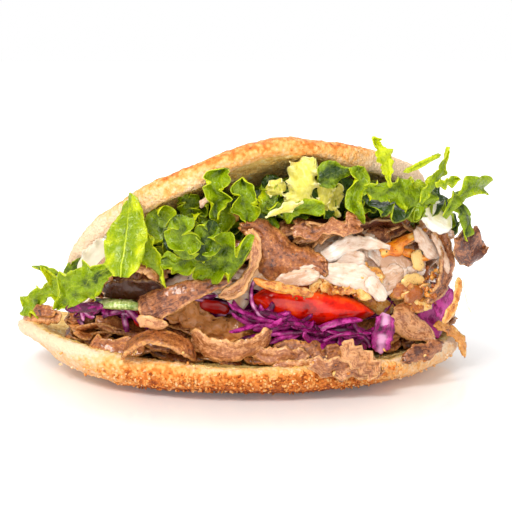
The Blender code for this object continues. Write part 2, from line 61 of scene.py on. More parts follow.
Colour = tuple[float, float, float]
Socket = bpy.types.NodeSocket
Value = Socket | float | Colour
log = logging.getLogger("sandwich")
MIDDLE_X = 2.0  # where the bread is widest from front to back
BAKE_FADES = (38.0, 92.0)  # how far from there its bake fades
TONE_REACH = 0.28  # how far a tone of 1 moves the mottling


def srgb(red: int, green: int, blue: int) -> Colour:
    """A colour as linear light, from the 0 to 255 of a colour picker."""
    shares = (channel / 255.0 for channel in (red, green, blue))
    return tuple(s / 12.92 if s <= 0.04045 else ((s + 0.055) / 1.055) ** 2.4 for s in shares)


def smooth(low: float, high: float, value: float) -> float:
    """0 at low, 1 at high, eased between them."""
    share = max(0.0, min(1.0, (value - low) / (high - low)))
    return share * share * (3.0 - 2.0 * share)


def middle(lowest: Vector, highest: Vector) -> Vector:
    """The middle of a box."""
    return 0.5 * (lowest + highest)


def own_seed(name: str) -> int:
    """A seed that is a piece's own, from its name."""
    return sum(map(ord, name)) % 97


def faded(x: float) -> float:
    """How far the bake has faded at x, from 0 over the middle of the bread to 1 at its ends."""
    return smooth(*BAKE_FADES, abs(x - MIDDLE_X))


def outwards(bm: bmesh.types.BMesh) -> list[tuple[bmesh.types.BMVert, Vector]]:
    """Each point of a mesh, with the way out of it."""
    bm.normal_update()
    return [(vert, vert.normal.copy()) for vert in bm.verts]


def solid(node: str) -> bmesh.types.BMesh:
    """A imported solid, closed and in millimetres.

    Args:
        node: The solid's name.

    Returns:
        A copy of it, merged.
    """
    bm = bmesh.new()
    bm.from_mesh(frame["nodes"][node].data)
    bmesh.ops.remove_doubles(bm, verts=bm.verts, dist=1e-6)
    bm.transform(Matrix.Scale(1.0 / MM, 4))
    bm.normal_update()
    return bm


def reshape(rough: bmesh.types.BMesh, into: bmesh.types.BMesh, **modifiers: dict) -> None:
    """Puts a mesh through modifiers, and uses it up.

    Args:
        rough: The mesh.
        into: What the reshaped mesh is added to.
        modifiers: The settings of each modifier, by its type.
    """
    mesh = bpy.data.meshes.new("rough")
    rough.to_mesh(mesh)
    rough.free()
    made = bpy.data.objects.new("rough", mesh)
    bpy.context.scene.collection.objects.link(made)
    for kind, settings in modifiers.items():
        modifier = made.modifiers.new(kind, kind)
        for name, value in settings.items():
            setattr(modifier, name, value)
    into.from_object(made, bpy.context.evaluated_depsgraph_get())
    bpy.data.objects.remove(made)


def standing(name: str, bm: bmesh.types.BMesh, look: bpy.types.Material) -> bpy.types.Object:
    """Makes an object from a mesh in millimetres, and uses it up.

    Args:
        name: The object's name.
        bm: The mesh.
        look: Its material.

    Returns:
        The object, in metres.
    """
    mesh = bpy.data.meshes.new(name)
    bm.to_mesh(mesh)
    bm.free()
    mesh.transform(Matrix.Scale(MM, 4))
    mesh.shade_smooth()
    mesh.materials.append(look)
    made = bpy.data.objects.new(name, mesh)
    bpy.context.scene.collection.objects.link(made)
    log.info("%s: %d faces", name, len(mesh.polygons))
    return made


@dataclass(frozen=True)
class Rim:
    """The rim of one half of the bread, in the half's own plane."""

    right: float  # how far it reaches to the right, to the left and to the front
    left: float
    front: float
    sweep: float = 14.0  # how far back it sweeps, 100 mm out from the middle
    ease: float = 0.65  # how much of its turn the filling follows
    end: float = 0.9  # the share of its reach from which that turn stays the same

    def out(self, place: Vector) -> float:
        """How far out a place lies.

        Args:
            place: The place, in the half's own plane.

        Returns:
            The share, from 0 in the middle to 1 at the rim.
        """
        reach = self.right if place.x > 0.0 else self.left
        back = self.sweep * (place.x / 100.0) ** 2
        return math.hypot(place.x / reach, (place.y - back) / self.front)

    def turned(self, x: float) -> Matrix:
        """How far the rim has turned from facing the viewer.

        Args:
            x: Where it is, along the mouth.

        Returns:
            The turn.
        """
        reach = self.right if x > 0 else self.left
        share = max(-self.end, min(self.end, x / reach))
        ahead = self.front / reach
        slope = ahead * share / math.sqrt(1.0 - share * share) + 2.0 * self.sweep * x / 1e4
        return Matrix.Rotation(self.ease * math.atan(slope), 3, "Z")


RIM = Rim(99.0, 114.0, 68.0)  # the lower half's
LID_RIM = Rim(90.0, 88.0, 72.0)  # the lid's, in its own tilted plane


class Nodes:
    """A material's shader nodes, added and joined by name."""

    stretch = 7.0  # how far streaks are drawn out

    def __init__(self, name: str) -> None:
        """Starts a new material.

        Args:
            name: The material's name.
        """
        self.material = bpy.data.materials.new(name)
        self.material.use_nodes = True
        self.tree = self.material.node_tree
        self.shader = self.tree.nodes["Principled BSDF"]

    def add(self, kind: str, links: dict | None = None, **settings: str | bool) -> bpy.types.Node:
        """Adds a node.

        Args:
            kind: The node's type, without its ShaderNode prefix.
            links: What goes into its inputs, by name or number: a socket or a plain value.
            settings: Attributes of the node.

        Returns:
            The node.
        """
        node = self.tree.nodes.new("ShaderNode" + kind)
        for name, value in settings.items():
            setattr(node, name, value)
        for key, value in (links or {}).items():
            self.put(node.inputs[key], value)
        return node

    def put(self, socket: Socket, value: Value) -> None:
        """Sets an input to a plain value, or joins another node's output to it.

        Args:
            socket: The input.
            value: What goes into it.
        """
        if isinstance(value, Socket):
            self.tree.links.new(value, socket)
        elif isinstance(value, tuple) and len(value) == 3 and socket.type == "RGBA":
            socket.default_value = (*value, 1.0)
        else:
            socket.default_value = value

    def place(self) -> Socket:
        """The place on the piece, in metres."""
        return self.add("TexCoord").outputs["Object"]

    def attribute(self, name: str) -> Socket:
        """A number that the mesh holds for each point."""
        return self.add("Attribute", attribute_name=name).outputs["Fac"]

    def noise(
        self,
        size: float,
        detail: float = 3.0,
        rough: float = 0.55,
        place: Socket | None = None,
        twist: float = 0.0,
    ) -> Socket:
        """Noise from 0 to 1.

        Args:
            size: How large its lumps are, in millimetres.
            detail: How many finer layers it has.
            rough: How strong they are.
            place: Where it is read, if not simply on the piece.
            twist: How far its lumps are pulled out of shape.

        Returns:
            The noise.
        """
        links = {"Vector": place or self.place(), "Scale": 1.0 / (size * MM), "Detail": detail}
        links |= {"Roughness": rough, "Distortion": twist}
        return self.add("TexNoise", links).outputs["Fac"]

    def cells(self, size: float, feature: str = "F1") -> Socket:
        """Distances in a cell pattern whose cells measure about size millimetres."""
        links = {"Vector": self.place(), "Scale": 1.0 / (size * MM)}
        return self.add("TexVoronoi", links, feature=feature).outputs["Distance"]

    def streaks(self, size: float) -> Socket:
        """Noise drawn out along the piece's own length.

        Args:
            size: How broad its streaks are, in millimetres.

        Returns:
            The noise, from 0 to 1.
        """
        along = self.add("UVMap", uv_map="lie").outputs["UV"]
        drawn = self.add("Mapping", {"Vector": along, "Scale": (1.0 / self.stretch, 1.0, 1.0)})
        return self.noise(size, 3.0, 0.6, drawn.outputs["Vector"], 0.4)

    def ramp(self, value: Value, *stops: tuple[float, Colour | float]) -> Socket:
        """Colours or grey levels along a value, eased between its stops.

        Args:
            value: The value.
            stops: Where each stop lies, and what it is.

        Returns:
            The colour.
        """
        node = self.add("ValToRGB", {"Fac": value})
        node.color_ramp.interpolation = "EASE"
        points = node.color_ramp.elements
        while len(points) < len(stops):
            points.new(0.5)
        for point, (where, what) in zip(points, stops):
            point.position = where
            point.color = (*what, 1.0) if isinstance(what, tuple) else (what, what, what, 1.0)
        return node.outputs["Color"]

    def mix(self, share: Value, first: Value, second: Value) -> Socket:
        """Two colours mixed.

        Args:
            share: The second one's share.
            first: A colour.
            second: Another.

        Returns:
            The mixed colour.
        """
        node = self.add("Mix", data_type="RGBA")
        self.put(node.inputs[0], share)
        self.put(node.inputs[6], first)
        self.put(node.inputs[7], second)
        return node.outputs[2]

    def math(
        self, operation: str, first: Value, second: Value = 0.0, clamp: bool = False
    ) -> Socket:
        """One sum.

        Args:
            operation: What is done.
            first: The first number.
            second: The second one.
            clamp: Whether the answer stays between 0 and 1.

        Returns:
            The answer.
        """
        node = self.add("Math", operation=operation, use_clamp=clamp)
        self.put(node.inputs[0], first)
        self.put(node.inputs[1], second)
        return node.outputs[0]

    def bump(self, *layers: tuple[Socket, float]) -> None:
        """Relief.

        Args:
            layers: The height of each layer, and its depth in millimetres.
        """
        normal = None
        for height, depth in layers:
            links = {"Height": height, "Distance": depth * MM, "Strength": 1.0}
            if normal:
                links["Normal"] = normal
            normal = self.add("Bump", links).outputs["Normal"]
        self.put(self.shader.inputs["Normal"], normal)

    def shine(
        self,
        rough: Value,
        coat: float = 0.0,
        under: float = 0.0,
        depth: Colour = (1.0, 1.0, 1.0),
        gloss: float = 0.5,
    ) -> None:
        """How the surface takes light.

        Args:
            rough: Roughness, a number or a socket.
            coat: The wet or waxy layer on it.
            under: How much light goes under the surface.
            depth: How far each colour of it goes, in millimetres.
            gloss: How strongly it mirrors, 0.5 for most things.
        """
        inputs = self.shader.inputs
        self.put(inputs["Roughness"], rough)
        inputs["Specular IOR Level"].default_value = gloss
        inputs["Coat Weight"].default_value = coat
        inputs["Coat Roughness"].default_value = 0.12
        inputs["Subsurface Weight"].default_value = under
        inputs["Subsurface Scale"].default_value = MM
        inputs["Subsurface Radius"].default_value = depth


@dataclass(frozen=True)
class Finish:
    """The finish of one kind of filling.

    Every piece holds two numbers for each point: tone, from -1 dark to 1 light, which in some
    pieces also carries painted shade, and accent, from 0 to 1, which brings in the accent colour,
    such as a roasted edge that is partly a painted highlight, a vein, a rind, or a painted
    highlight along a leaf's edge.
    """

    slot: str
    deep: Colour
    mid: Colour
    light: Colour
    accent: Colour
    fleck: Colour
    mottle: float = 3.0  # sizes in millimetres
    grain: float = 0.6
    relief: float = 0.1
    streak: float = 0.0  # how much of the mottling runs along the piece
    streak_size: float = 0.6
    fleck_size: float = 2.0
    flecks: float = 0.0  # the share of each fleck's cell that it fills
    rough: float = 0.4
    coat: float = 0.0
    under: float = 0.1
    depth: Colour = (1.0, 1.0, 1.0)
    gloss: float = 0.5
    uneven: float = 0.6  # how unevenly the accent is spread
    spread: float = 0.18  # how softly the mottling passes from deep to light
    veins: float = 0.0  # the size of the net that its veins draw


class Finishes(Enum):
    """What each kind of filling looks like."""

    # The meat's accent colour is its golden edge: partly roasted, partly a painted highlight where
    # light catches the thin margin.
    MEAT = Finish(
        "meat", srgb(80, 32, 6), srgb(162, 90, 40), srgb(220, 144, 74), srgb(244, 184, 96),
        srgb(66, 28, 4), 1.3, 0.45, 0.36, streak=0.25, fleck_size=1.7, flecks=0.04, rough=0.18,
        coat=0.5, under=0.05, depth=(1.0, 0.4, 0.2), spread=0.20,
    )
    MEAT_PALE = Finish(
        "meat_pale", srgb(84, 34, 10), srgb(166, 98, 52), srgb(222, 158, 102),
        srgb(248, 198, 116), srgb(86, 38, 16), 1.4, 0.45, 0.24, streak=0.45, fleck_size=2.1,
        flecks=0.05, rough=0.18, coat=0.45, under=0.06, depth=(1.2, 0.5, 0.3), spread=0.17,
    )
    FRIED = Finish(
        "meat_pale", srgb(168, 86, 12), srgb(226, 148, 52), srgb(250, 206, 126),
        srgb(253, 226, 164), srgb(90, 40, 10), 1.8, 0.5, 0.2, streak=0.3, fleck_size=1.6,
        flecks=0.08, rough=0.25, coat=0.3, under=0.15, depth=(1.4, 0.7, 0.3), spread=0.2,
    )
    SPICE = Finish(
        "meat", srgb(16, 10, 6), srgb(46, 26, 12), srgb(110, 66, 26), srgb(150, 90, 40),
        srgb(20, 10, 6), 0.8, 0.3, 0.1, rough=0.45, under=0.0,
    )
    # The leaf's accent colour draws its pale rib and veins, and a painted highlight along its edge.
    LEAF = Finish(
        "leaf", srgb(34, 58, 0), srgb(122, 146, 0), srgb(190, 200, 4), srgb(206, 218, 56),
        srgb(60, 96, 10), 5.0, 0.7, 0.08, streak=0.15, streak_size=1.4, rough=0.30, coat=0.05,
        under=0.12, depth=(0.5, 0.7, 0.05), gloss=0.25, uneven=0.1, spread=0.36, veins=2.4,
    )
    LEAF_PALE = Finish(
        "leaf_pale", srgb(150, 142, 24), srgb(218, 208, 88), srgb(248, 240, 166),
        srgb(253, 250, 200), srgb(190, 200, 90), 3.5, 0.7, 0.06, streak=0.2, streak_size=1.4,
        rough=0.36, coat=0.05, under=0.15, depth=(0.8, 0.9, 0.2), gloss=0.25, uneven=0.15,
        spread=0.4, veins=4.0,
    )
    PURPLE = Finish(
        "purple_cabbage", srgb(72, 0, 46), srgb(140, 8, 98), srgb(196, 60, 150),
        srgb(232, 172, 208), srgb(70, 8, 50), 2.2, 0.6, 0.12, streak=0.3, rough=0.26, coat=0.1,
        under=0.1, depth=(1.0, 0.3, 0.7), uneven=0.25, gloss=0.3,
    )
    SLAW = Finish(
        "white_cabbage", srgb(208, 162, 126), srgb(234, 208, 186), srgb(253, 245, 236),
        srgb(226, 170, 106), srgb(60, 34, 20), 3.0, 0.6, 0.14, streak=0.5, fleck_size=7.0,
        flecks=0.05, rough=0.22, coat=0.4, under=0.2, depth=(1.6, 1.2, 0.9), spread=0.24,
    )
    TOMATO = Finish(
        "tomato", srgb(160, 6, 0), srgb(214, 26, 2), srgb(236, 66, 12), srgb(244, 120, 44),
        srgb(240, 170, 90), 6.0, 1.5, 0.03, rough=0.14, coat=0.2, under=0.12,
        depth=(2.0, 0.5, 0.1), gloss=0.25,
    )
    CUCUMBER = Finish(
        "cucumber", srgb(108, 138, 50), srgb(170, 190, 104), srgb(216, 226, 160),
        srgb(24, 50, 8), srgb(210, 220, 160), 1.4, 0.7, 0.08, rough=0.22, coat=0.3, under=0.15,
        depth=(0.8, 1.2, 0.5),
    )
    ONION = Finish(
        "onion", srgb(226, 216, 190), srgb(246, 242, 228), srgb(255, 254, 250),
        srgb(226, 216, 160), srgb(230, 226, 200), 6.0, 1.0, 0.05, streak=0.4, streak_size=1.2,
        rough=0.22, coat=0.4, under=0.3, depth=(2.0, 2.0, 1.6),
    )
    CARROT = Finish(
        "carrot", srgb(196, 88, 0), srgb(234, 134, 8), srgb(250, 178, 56), srgb(254, 204, 112),
        srgb(255, 200, 120), 2.5, 0.6, 0.10, streak=0.6, rough=0.3, coat=0.25, under=0.2,
        depth=(1.6, 0.7, 0.2),
    )

    def material(self) -> bpy.types.Material:
        """The finish's material.

        Returns:
            The material, made the first time that it is asked for.
        """
        found = bpy.data.materials.get("finish_" + self.name.lower())
        if found:
            return found
        look = self.value
        nodes = Nodes("finish_" + self.name.lower())
        mottling = nodes.noise(look.mottle, 4.0, 0.6)
        streaks = nodes.streaks(look.streak_size)
        pattern = nodes.mix(look.streak, mottling, streaks)
        terms = {0: nodes.attribute("tone"), 1: TONE_REACH, 2: pattern}
        tone = nodes.add("Math", terms, operation="MULTIPLY_ADD").outputs[0]
        low, high = 0.5 - look.spread, 0.5 + look.spread
        colour = nodes.ramp(tone, (low, look.deep), (0.5, look.mid), (high, look.light))
        if look.flecks:
            spots = nodes.cells(look.fleck_size)
            share = nodes.ramp(spots, (look.flecks, 0.8), (look.flecks + 0.10, 0.0))
            colour = nodes.mix(share, colour, look.fleck)
        if look.veins:
            lines = nodes.cells(look.veins, "DISTANCE_TO_EDGE")
            net = nodes.ramp(lines, (0.0, 0.26), (0.08, 0.0))
            net = nodes.math("MULTIPLY", net, tone, clamp=True)
            colour = nodes.mix(net, colour, look.accent)
        ragged = nodes.math("MULTIPLY", nodes.math("SUBTRACT", mottling, 0.5), look.uneven)
        edge = nodes.math("ADD", nodes.attribute("accent"), ragged)
        edge = nodes.ramp(edge, (0.05, 0.0), (0.95, 1.0))
        nodes.put(nodes.shader.inputs["Base Color"], nodes.mix(edge, colour, look.accent))
        grain = nodes.noise(look.grain, 5.0, 0.65)
        wrinkles = nodes.noise(look.grain * 4.0, 3.0, 0.5, twist=0.6)
        relief = [
            (grain, look.relief),
            (wrinkles, look.relief * 2.0),
            (streaks, look.streak * look.streak_size * 0.5),
        ]
        if look.veins:
            relief.append((nodes.ramp(lines, (0.0, 0.0), (0.3, 1.0)), 0.2))
        nodes.bump(*relief)
        rough = nodes.ramp(grain, (0.3, look.rough * 0.75), (0.75, min(1.0, look.rough * 1.3)))
        nodes.shine(rough, look.coat, look.under, look.depth, look.gloss)
        return nodes.material


@dataclass
class Studio:
    """The pale floor, the soft lights and the camera."""

    focus: Vector = field(default_factory=lambda: Vector((1.6, -50.0, 60.9)) * MM)
    height_angle: float = 9.0
    distance: float = 620.0 * MM
    lens: float = 101.4
    floor_reach: float = 6.0
    white: Colour = (0.80, 0.775, 0.765)
    dim: float = 0.45  # the light that the room itself gives
    glow: float = 0.9  # the light that the far floor gives

    def build(self) -> None:
        """Sets the whole studio up."""
        self.floor()
        self.camera()
        self.light("key", (-0.45, -0.75, 0.90), 0.40, 12.5, (1.0, 0.98, 0.95))
        self.light("fill", (0.25, -1.1, 0.35), 0.8, 4.5, (1.0, 0.99, 0.97))
        self.light("rim", (0.1, 0.7, 0.9), 0.8, 6.0, (1.0, 1.0, 1.0))
        self.surroundings()
        bpy.context.scene.view_settings.view_transform = "Standard"

    def floor(self) -> None:
        """A pale, slightly polished table, which glows more the farther it lies from the sandwich:
        painted light.
        """
        bm = bmesh.new()
        bmesh.ops.create_grid(bm, x_segments=1, y_segments=1, size=self.floor_reach)
        mesh = bpy.data.meshes.new("floor")
        bm.to_mesh(mesh)
        bm.free()
        made = bpy.data.objects.new("floor", mesh)
        bpy.context.scene.collection.objects.link(made)
        nodes = Nodes("finish_floor")
        nodes.put(nodes.shader.inputs["Base Color"], self.white)
        nodes.put(nodes.shader.inputs["Roughness"], 0.12)
        nodes.put(nodes.shader.inputs["Specular IOR Level"], 0.5)
        # Painted light: the floor's glow is faint near the sandwich and full far off, which whitens
        # the far floor and lifts the shadow round the sandwich.
        nodes.put(nodes.shader.inputs["Emission Color"], (1.0, 1.0, 1.0))
        away = nodes.add("VectorMath", {0: nodes.place()}, operation="LENGTH").outputs["Value"]
        far = nodes.ramp(nodes.math("MULTIPLY", away, 0.5), (0.03, 0.1), (0.09, 0.7), (0.25, 1.0))
        nodes.put(nodes.shader.inputs["Emission Strength"], nodes.math("MULTIPLY", far, self.glow))
        mesh.materials.append(nodes.material)

    def light(self, name: str, place: Colour, size: float, power: float, warmth: Colour) -> None:
        """A large soft light that looks at the sandwich.

        Args:
            name: The light's name.
            place: Where it hangs, in metres.
            size: Its width and height, in metres.
            power: In watts.
            warmth: Its colour.
        """
        data = bpy.data.lights.new(name, "AREA")
        data.size = size
        data.energy = power
        data.color = warmth
        made = bpy.data.objects.new(name, data)
        made.location = place
        made.rotation_euler = (self.focus - made.location).to_track_quat("-Z", "Y").to_euler()
        bpy.context.scene.collection.objects.link(made)

    def camera(self) -> None:
        """The camera, low in front of the mouth."""
        data = bpy.data.cameras.new("camera")
        data.lens = self.lens
        made = bpy.data.objects.new("camera", data)
        angle = math.radians(self.height_angle)
        back = Vector((0.0, -math.cos(angle), math.sin(angle)))
        made.location = self.focus + back * self.distance
        made.rotation_euler = back.to_track_quat("Z", "Y").to_euler()
        bpy.context.scene.collection.objects.link(made)
        bpy.context.scene.camera = made

    def surroundings(self) -> None:
        """A white room, which lights the sandwich less than it shows."""
        world = bpy.data.worlds.new("world")
        world.use_nodes = True
        tree = world.node_tree
        background = tree.nodes["Background"]
        background.inputs["Color"].default_value = (1.0, 1.0, 1.0, 1.0)
        ray = tree.nodes.new("ShaderNodeLightPath")
        strength = tree.nodes.new("ShaderNodeMapRange")
        strength.inputs["To Min"].default_value = self.dim
        strength.inputs["To Max"].default_value = 1.0
        tree.links.new(ray.outputs["Is Camera Ray"], strength.inputs["Value"])
        tree.links.new(strength.outputs["Result"], background.inputs["Strength"])
        bpy.context.scene.world = world


class Piece:
    """A mesh on its way to becoming a finished piece of the sandwich."""

    def __init__(self) -> None:
        """Starts with nothing in it."""
        self.bm = bmesh.new()
        self.tone = self.bm.verts.layers.float.new("tone")
        self.accent = self.bm.verts.layers.float.new("accent")
        self.lie = self.bm.loops.layers.uv.new("lie")

    def join(self, other: "Piece") -> None:
        """Adds another piece's mesh to this one.

        Args:
            other: The other piece, which is used up.
        """
        mesh = bpy.data.meshes.new("part")
        other.bm.to_mesh(mesh)
        other.bm.free()
        self.bm.from_mesh(mesh)
        bpy.data.meshes.remove(mesh)

    def finish(self, name: str, look: Finishes, *nodes: str) -> bpy.types.Object:
        """Makes the object, in metres, riding on the sandwich.

        Args:
            name: The piece's name.
            look: Its finish.
            nodes: The solids that it stands for.

        Returns:
            The finished object.
        """
        made = standing(name, self.bm, look.material())
        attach(made, BODY)
        if nodes:
            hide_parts(*nodes)
        return made


@dataclass
class Sheet:
    """A thin piece of filling, laid as its solid is laid.

    Its middle lies at the origin until it is placed. heading turns its length anticlockwise from
    +X, lean tips its far end forward, roll turns it about its length, curl bends it along its
    length, cup across it, sweep within its own face and twist about its length, in degrees over
    the whole piece. foot and tip are its end widths as shares of its width. Where it has an
    outline, that gives the places along its length, from 0 to 1, with how far its left and its
    right margins lie from its middle line there, as shares of half its width. sharp makes the
    outline round at 0 and pointed at 1. A place on it is given by its share of the length, from
    0 to 1, and by how far across it lies, from -1 at the right margin to 1 at the left.
    """

    look: Finishes
    length: float
    width: float
    heading: float = 0.0
    lean: float = 0.0
    roll: float = 0.0
    curl: float = 0.0
    cup: float = 0.0
    sweep: float = 0.0
    twist: float = 0.0
    foot: float = 0.75
    tip: float = 0.75
    outline: tuple[tuple[float, float, float], ...] = ()
    sharp: float = 0.5
    thick: float = 1.7
    rag: float = 0.16  # unevenness of the outline, as a share of the width
    rag_size: float = 4.0
    folds: float = 0.8  # depth of its own folds
    grit: float = 0.24  # depth of its grain
    tone: float = 0.0
    below: float = -0.3  # how much lighter its underside is
    cell: float = 0.7  # size of its faces
    seed: float = 0.0

    def frames(self, steps: int) -> list[tuple[Vector, Matrix]]:
        """The places and turns along its middle line, with the middle one at home.

        Args:
            steps: How many lengths the line is cut into.

        Returns:
            The place and the turn at each end of them.
        """
        turn = (
            Matrix.Rotation(math.radians(-self.curl / steps), 3, "Y")
            @ Matrix.Rotation(math.radians(self.sweep / steps), 3, "Z")
            @ Matrix.Rotation(math.radians(self.twist / steps), 3, "X")
        )
        frames = [(Vector(), Matrix.Identity(3))]
        for _ in range(steps):
            point, rotation = frames[-1]
            rotation = rotation @ turn
            frames.append((point + rotation.col[0] * self.length / steps, rotation))
        home, back = frames[steps // 2][0], frames[steps // 2][1].transposed()
        return [(back @ (point - home), back @ rotation) for point, rotation in frames]

    def facing(self, x: float) -> Matrix:
        """How it is turned in the mouth.

        Args:
            x: Where it lies along the mouth.

        Returns:
            The turn.
        """
        to_viewer = Matrix(((1, 0, 0), (0, 0, -1), (0, 1, 0)))
        heading = Matrix.Rotation(math.radians(self.heading), 3, Vector((0, -1, 0)))
        lean = Matrix.Rotation(math.radians(-self.lean), 3, "Y")
        roll = Matrix.Rotation(math.radians(self.roll), 3, "X")
        return RIM.turned(x) @ heading @ to_viewer @ lean @ roll

    def chance(self, first: float, second: float = 0.0) -> float:
        """Smooth noise of its own, from -1 to 1."""
        return noise.noise(Vector((first, second, 7.3 * self.seed)))

    def plain_reach(self, share: float, across: float) -> float:
        """How far one margin lies from its middle line, before it is torn.

        Args:
            share: The place along its length.
            across: Which side, by its sign.

        Returns:
            The distance.
        """
        if not self.outline:
            end = self.foot if share < 0.5 else self.tip
            return 0.5 * self.width * (1.0 - (1.0 - end) * abs(2.0 * share - 1.0) ** 2.2)
        side = 1 if across > 0 else 2
        for before, after in zip(self.outline, self.outline[1:]):
            if share <= after[0]:
                break
        along = max(0.0, min(1.0, (share - before[0]) / (after[0] - before[0])))
        eased = self.sharp * along + (1.0 - self.sharp) * smooth(0.0, 1.0, along)
        return 0.5 * self.width * (before[side] + eased * (after[side] - before[side]))

    def reach(self, share: float, across: float) -> float:
        """How far one margin lies from its middle line, torn as it is.

        Args:
            share: The place along its length.
            across: Which side, by its sign.

        Returns:
            The distance.
        """
        side = 9.0 if across > 0 else 0.0
        along = share * self.length
        rough = self.chance(along / self.rag_size, side)
        rough += 0.5 * self.chance(2.7 * along / self.rag_size, side + 4.0)
        return self.plain_reach(share, across) + 0.8 * self.width * self.rag * rough

    def ends(self, share: float, across: float) -> float:
        """How far its ends draw in and out.

        Args:
            share: The place along its length.
            across: The place across it.

        Returns:
            How far the place moves along its length.
        """
        out = 2.0 * share - 1.0
        rough = self.rag * self.width * self.chance(2.1 * across, 20.0 + math.copysign(5.0, out))
        blunt = 0.0 if self.outline else 0.10
        return rough * abs(out) ** 3 - blunt * self.length * out**3 * across * across

    def lift(self, share: float, across: float) -> float:
        """How far its middle surface stands up, from its folds."""
        along, side = share * self.length, across * 0.5 * self.width
        return self.folds * self.chance(along / 8.0, side / 5.0 + 30.0)

    def half(self, share: float, across: float) -> float:
        """Half its thickness, which thins towards its edge."""
        edge = max(abs(across), abs(2.0 * share - 1.0))
        return 0.5 * self.thick * (1.0 - 0.5 * smooth(0.8, 1.0, edge))

    def grain(self, place: Vector) -> float:
        """How far a place of its surface stands out."""
        return self.grit * (noise.noise(place / 1.5) + 0.6 * noise.noise(place / 0.8))

    def shades(self, share: float, across: float) -> tuple[float, float]:
        """Its colouring, with a golden edge that is partly roasted and partly a painted highlight.

        Args:
            share: The place along its length.
            across: The place across it.

        Returns:
            Its tone and its accent there.
        """
        along, side = share * self.length, across * 0.5 * self.width
        patch = self.chance(along / 6.0, side / 4.0 + 50.0)
        spot = self.chance(along / 1.8, side / 1.6 + 70.0)
        inwards = min(0.5 * self.width * (1.0 - abs(across)), along, self.length - along)
        # The golden edge and the lighter margin are partly roasted colour and partly a painted
        # highlight where light catches the thin edge.
        edge = smooth(1.1, 0.1, inwards + 0.8 * spot)
        tone = self.tone + 0.5 * patch + 0.2 * spot + 0.3 * smooth(2.0, 0.2, inwards)
        return tone, 0.36 * edge

    def slope(self, share: float, across: float) -> float:
        """How steeply its cross-section climbs outwards: its cup and a curled edge.

        Args:
            share: The place along its length.
            across: The place across it.

        Returns:
            The slope, in radians.
        """
        side = 3.0 if across > 0 else 0.0
        curled = 0.9 * self.chance(share * self.length / 6.0, 40.0 + side)
        return math.radians(0.5 * self.cup) * abs(across) + curled * smooth(0.55, 1.0, abs(across))

    def row(self, share: float, lanes: int) -> list[Vector]:
        """The places across it, before it bends along its length.

        Args:
            share: The place along its length.
            lanes: How many widths it is cut into.

        Returns:
            The places, from its right margin to its left.
        """
        half = lanes // 2
        left, right = self.reach(share, 1.0), self.reach(share, -1.0)
        step = max(0.25, 0.5 * (left + right)) / half
        places = [Vector((0.0, 0.5 * (left - right), 0.0)) for _ in range(lanes + 1)]
        for side in (-1, 1):
            place = places[half]
            for lane in range(1, half + 1):
                angle = self.slope(share, side * (lane - 0.5) / half)
                place = place + Vector((0.0, side * step * math.cos(angle), step * math.sin(angle)))
                places[half + side * lane] = place
        for lane, place in enumerate(places):
            across = lane / half - 1.0
            place.z += self.lift(share, across)
            place.x += self.ends(share, across)
        return places

    def make(self, turn: Matrix, at: Vector, centred: bool = False) -> Piece:
        """Models the piece.

        Args:
            turn: How it is turned.
            at: Where its middle goes.
            centred: Whether that is the middle of its box, rather than of its middle line.

        Returns:
            The piece, with its thickness, in its place.
        """
        piece = Piece()
        bm = piece.bm
        steps = 2 * max(3, round(0.5 * self.length / self.cell))
        lanes = 2 * max(1, round(0.5 * self.width / self.cell))
        bmesh.ops.create_grid(bm, x_segments=steps, y_segments=lanes, size=0.5)
        frames = self.frames(steps)
        rows = [self.row(step / steps, lanes) for step in range(steps + 1)]
        middles = bm.verts.layers.float_vector.new("middle")
        extents = bm.verts.layers.float.new("extent")
        for vert in bm.verts:
            share, across = vert.co.x + 0.5, 2.0 * vert.co.y
            step, lane = round(share * steps), round((across + 1.0) * lanes / 2)
            point, rotation = frames[step]
            for corner in vert.link_loops:
                corner[piece.lie].uv = (share * self.length * MM, across * 0.5 * self.width * MM)
            vert.co = point + rotation @ rows[step][lane]
            vert[middles] = vert.co
            vert[extents] = self.half(share, across)
            vert[piece.tone], vert[piece.accent] = self.shades(share, across)
        bm.normal_update()
        first, home = len(bm.verts), min(bm.verts, key=lambda vert: vert.co.length)
        bmesh.ops.solidify(bm, geom=bm.faces, thickness=1.0)
        bmesh.ops.recalc_face_normals(bm, faces=bm.faces)
        bm.normal_update()
        shift = Vector((0.0, 0.0, 31.0 * self.seed))
        up = home.normal.z > 0.0
        for index, (vert, out) in enumerate([(vert, vert.normal.copy()) for vert in bm.verts]):
            height = vert[extents] + self.grain(Vector(vert[middles]) + out * 0.8 + shift)
            vert.co = Vector(vert[middles]) + out * max(0.1, height)
            if (index < first) != up:
                vert[piece.tone] += self.below
        bm.verts.layers.float_vector.remove(middles)
        bm.verts.layers.float.remove(bm.verts.layers.float["extent"])
        bm.transform(turn.to_4x4())
        if centred:
            corners = [[f(v.co[axis] for v in bm.verts) for axis in range(3)] for f in (min, max)]
            at = at - middle(Vector(corners[0]), Vector(corners[1]))
        bm.transform(Matrix.Translation(at))
        return piece


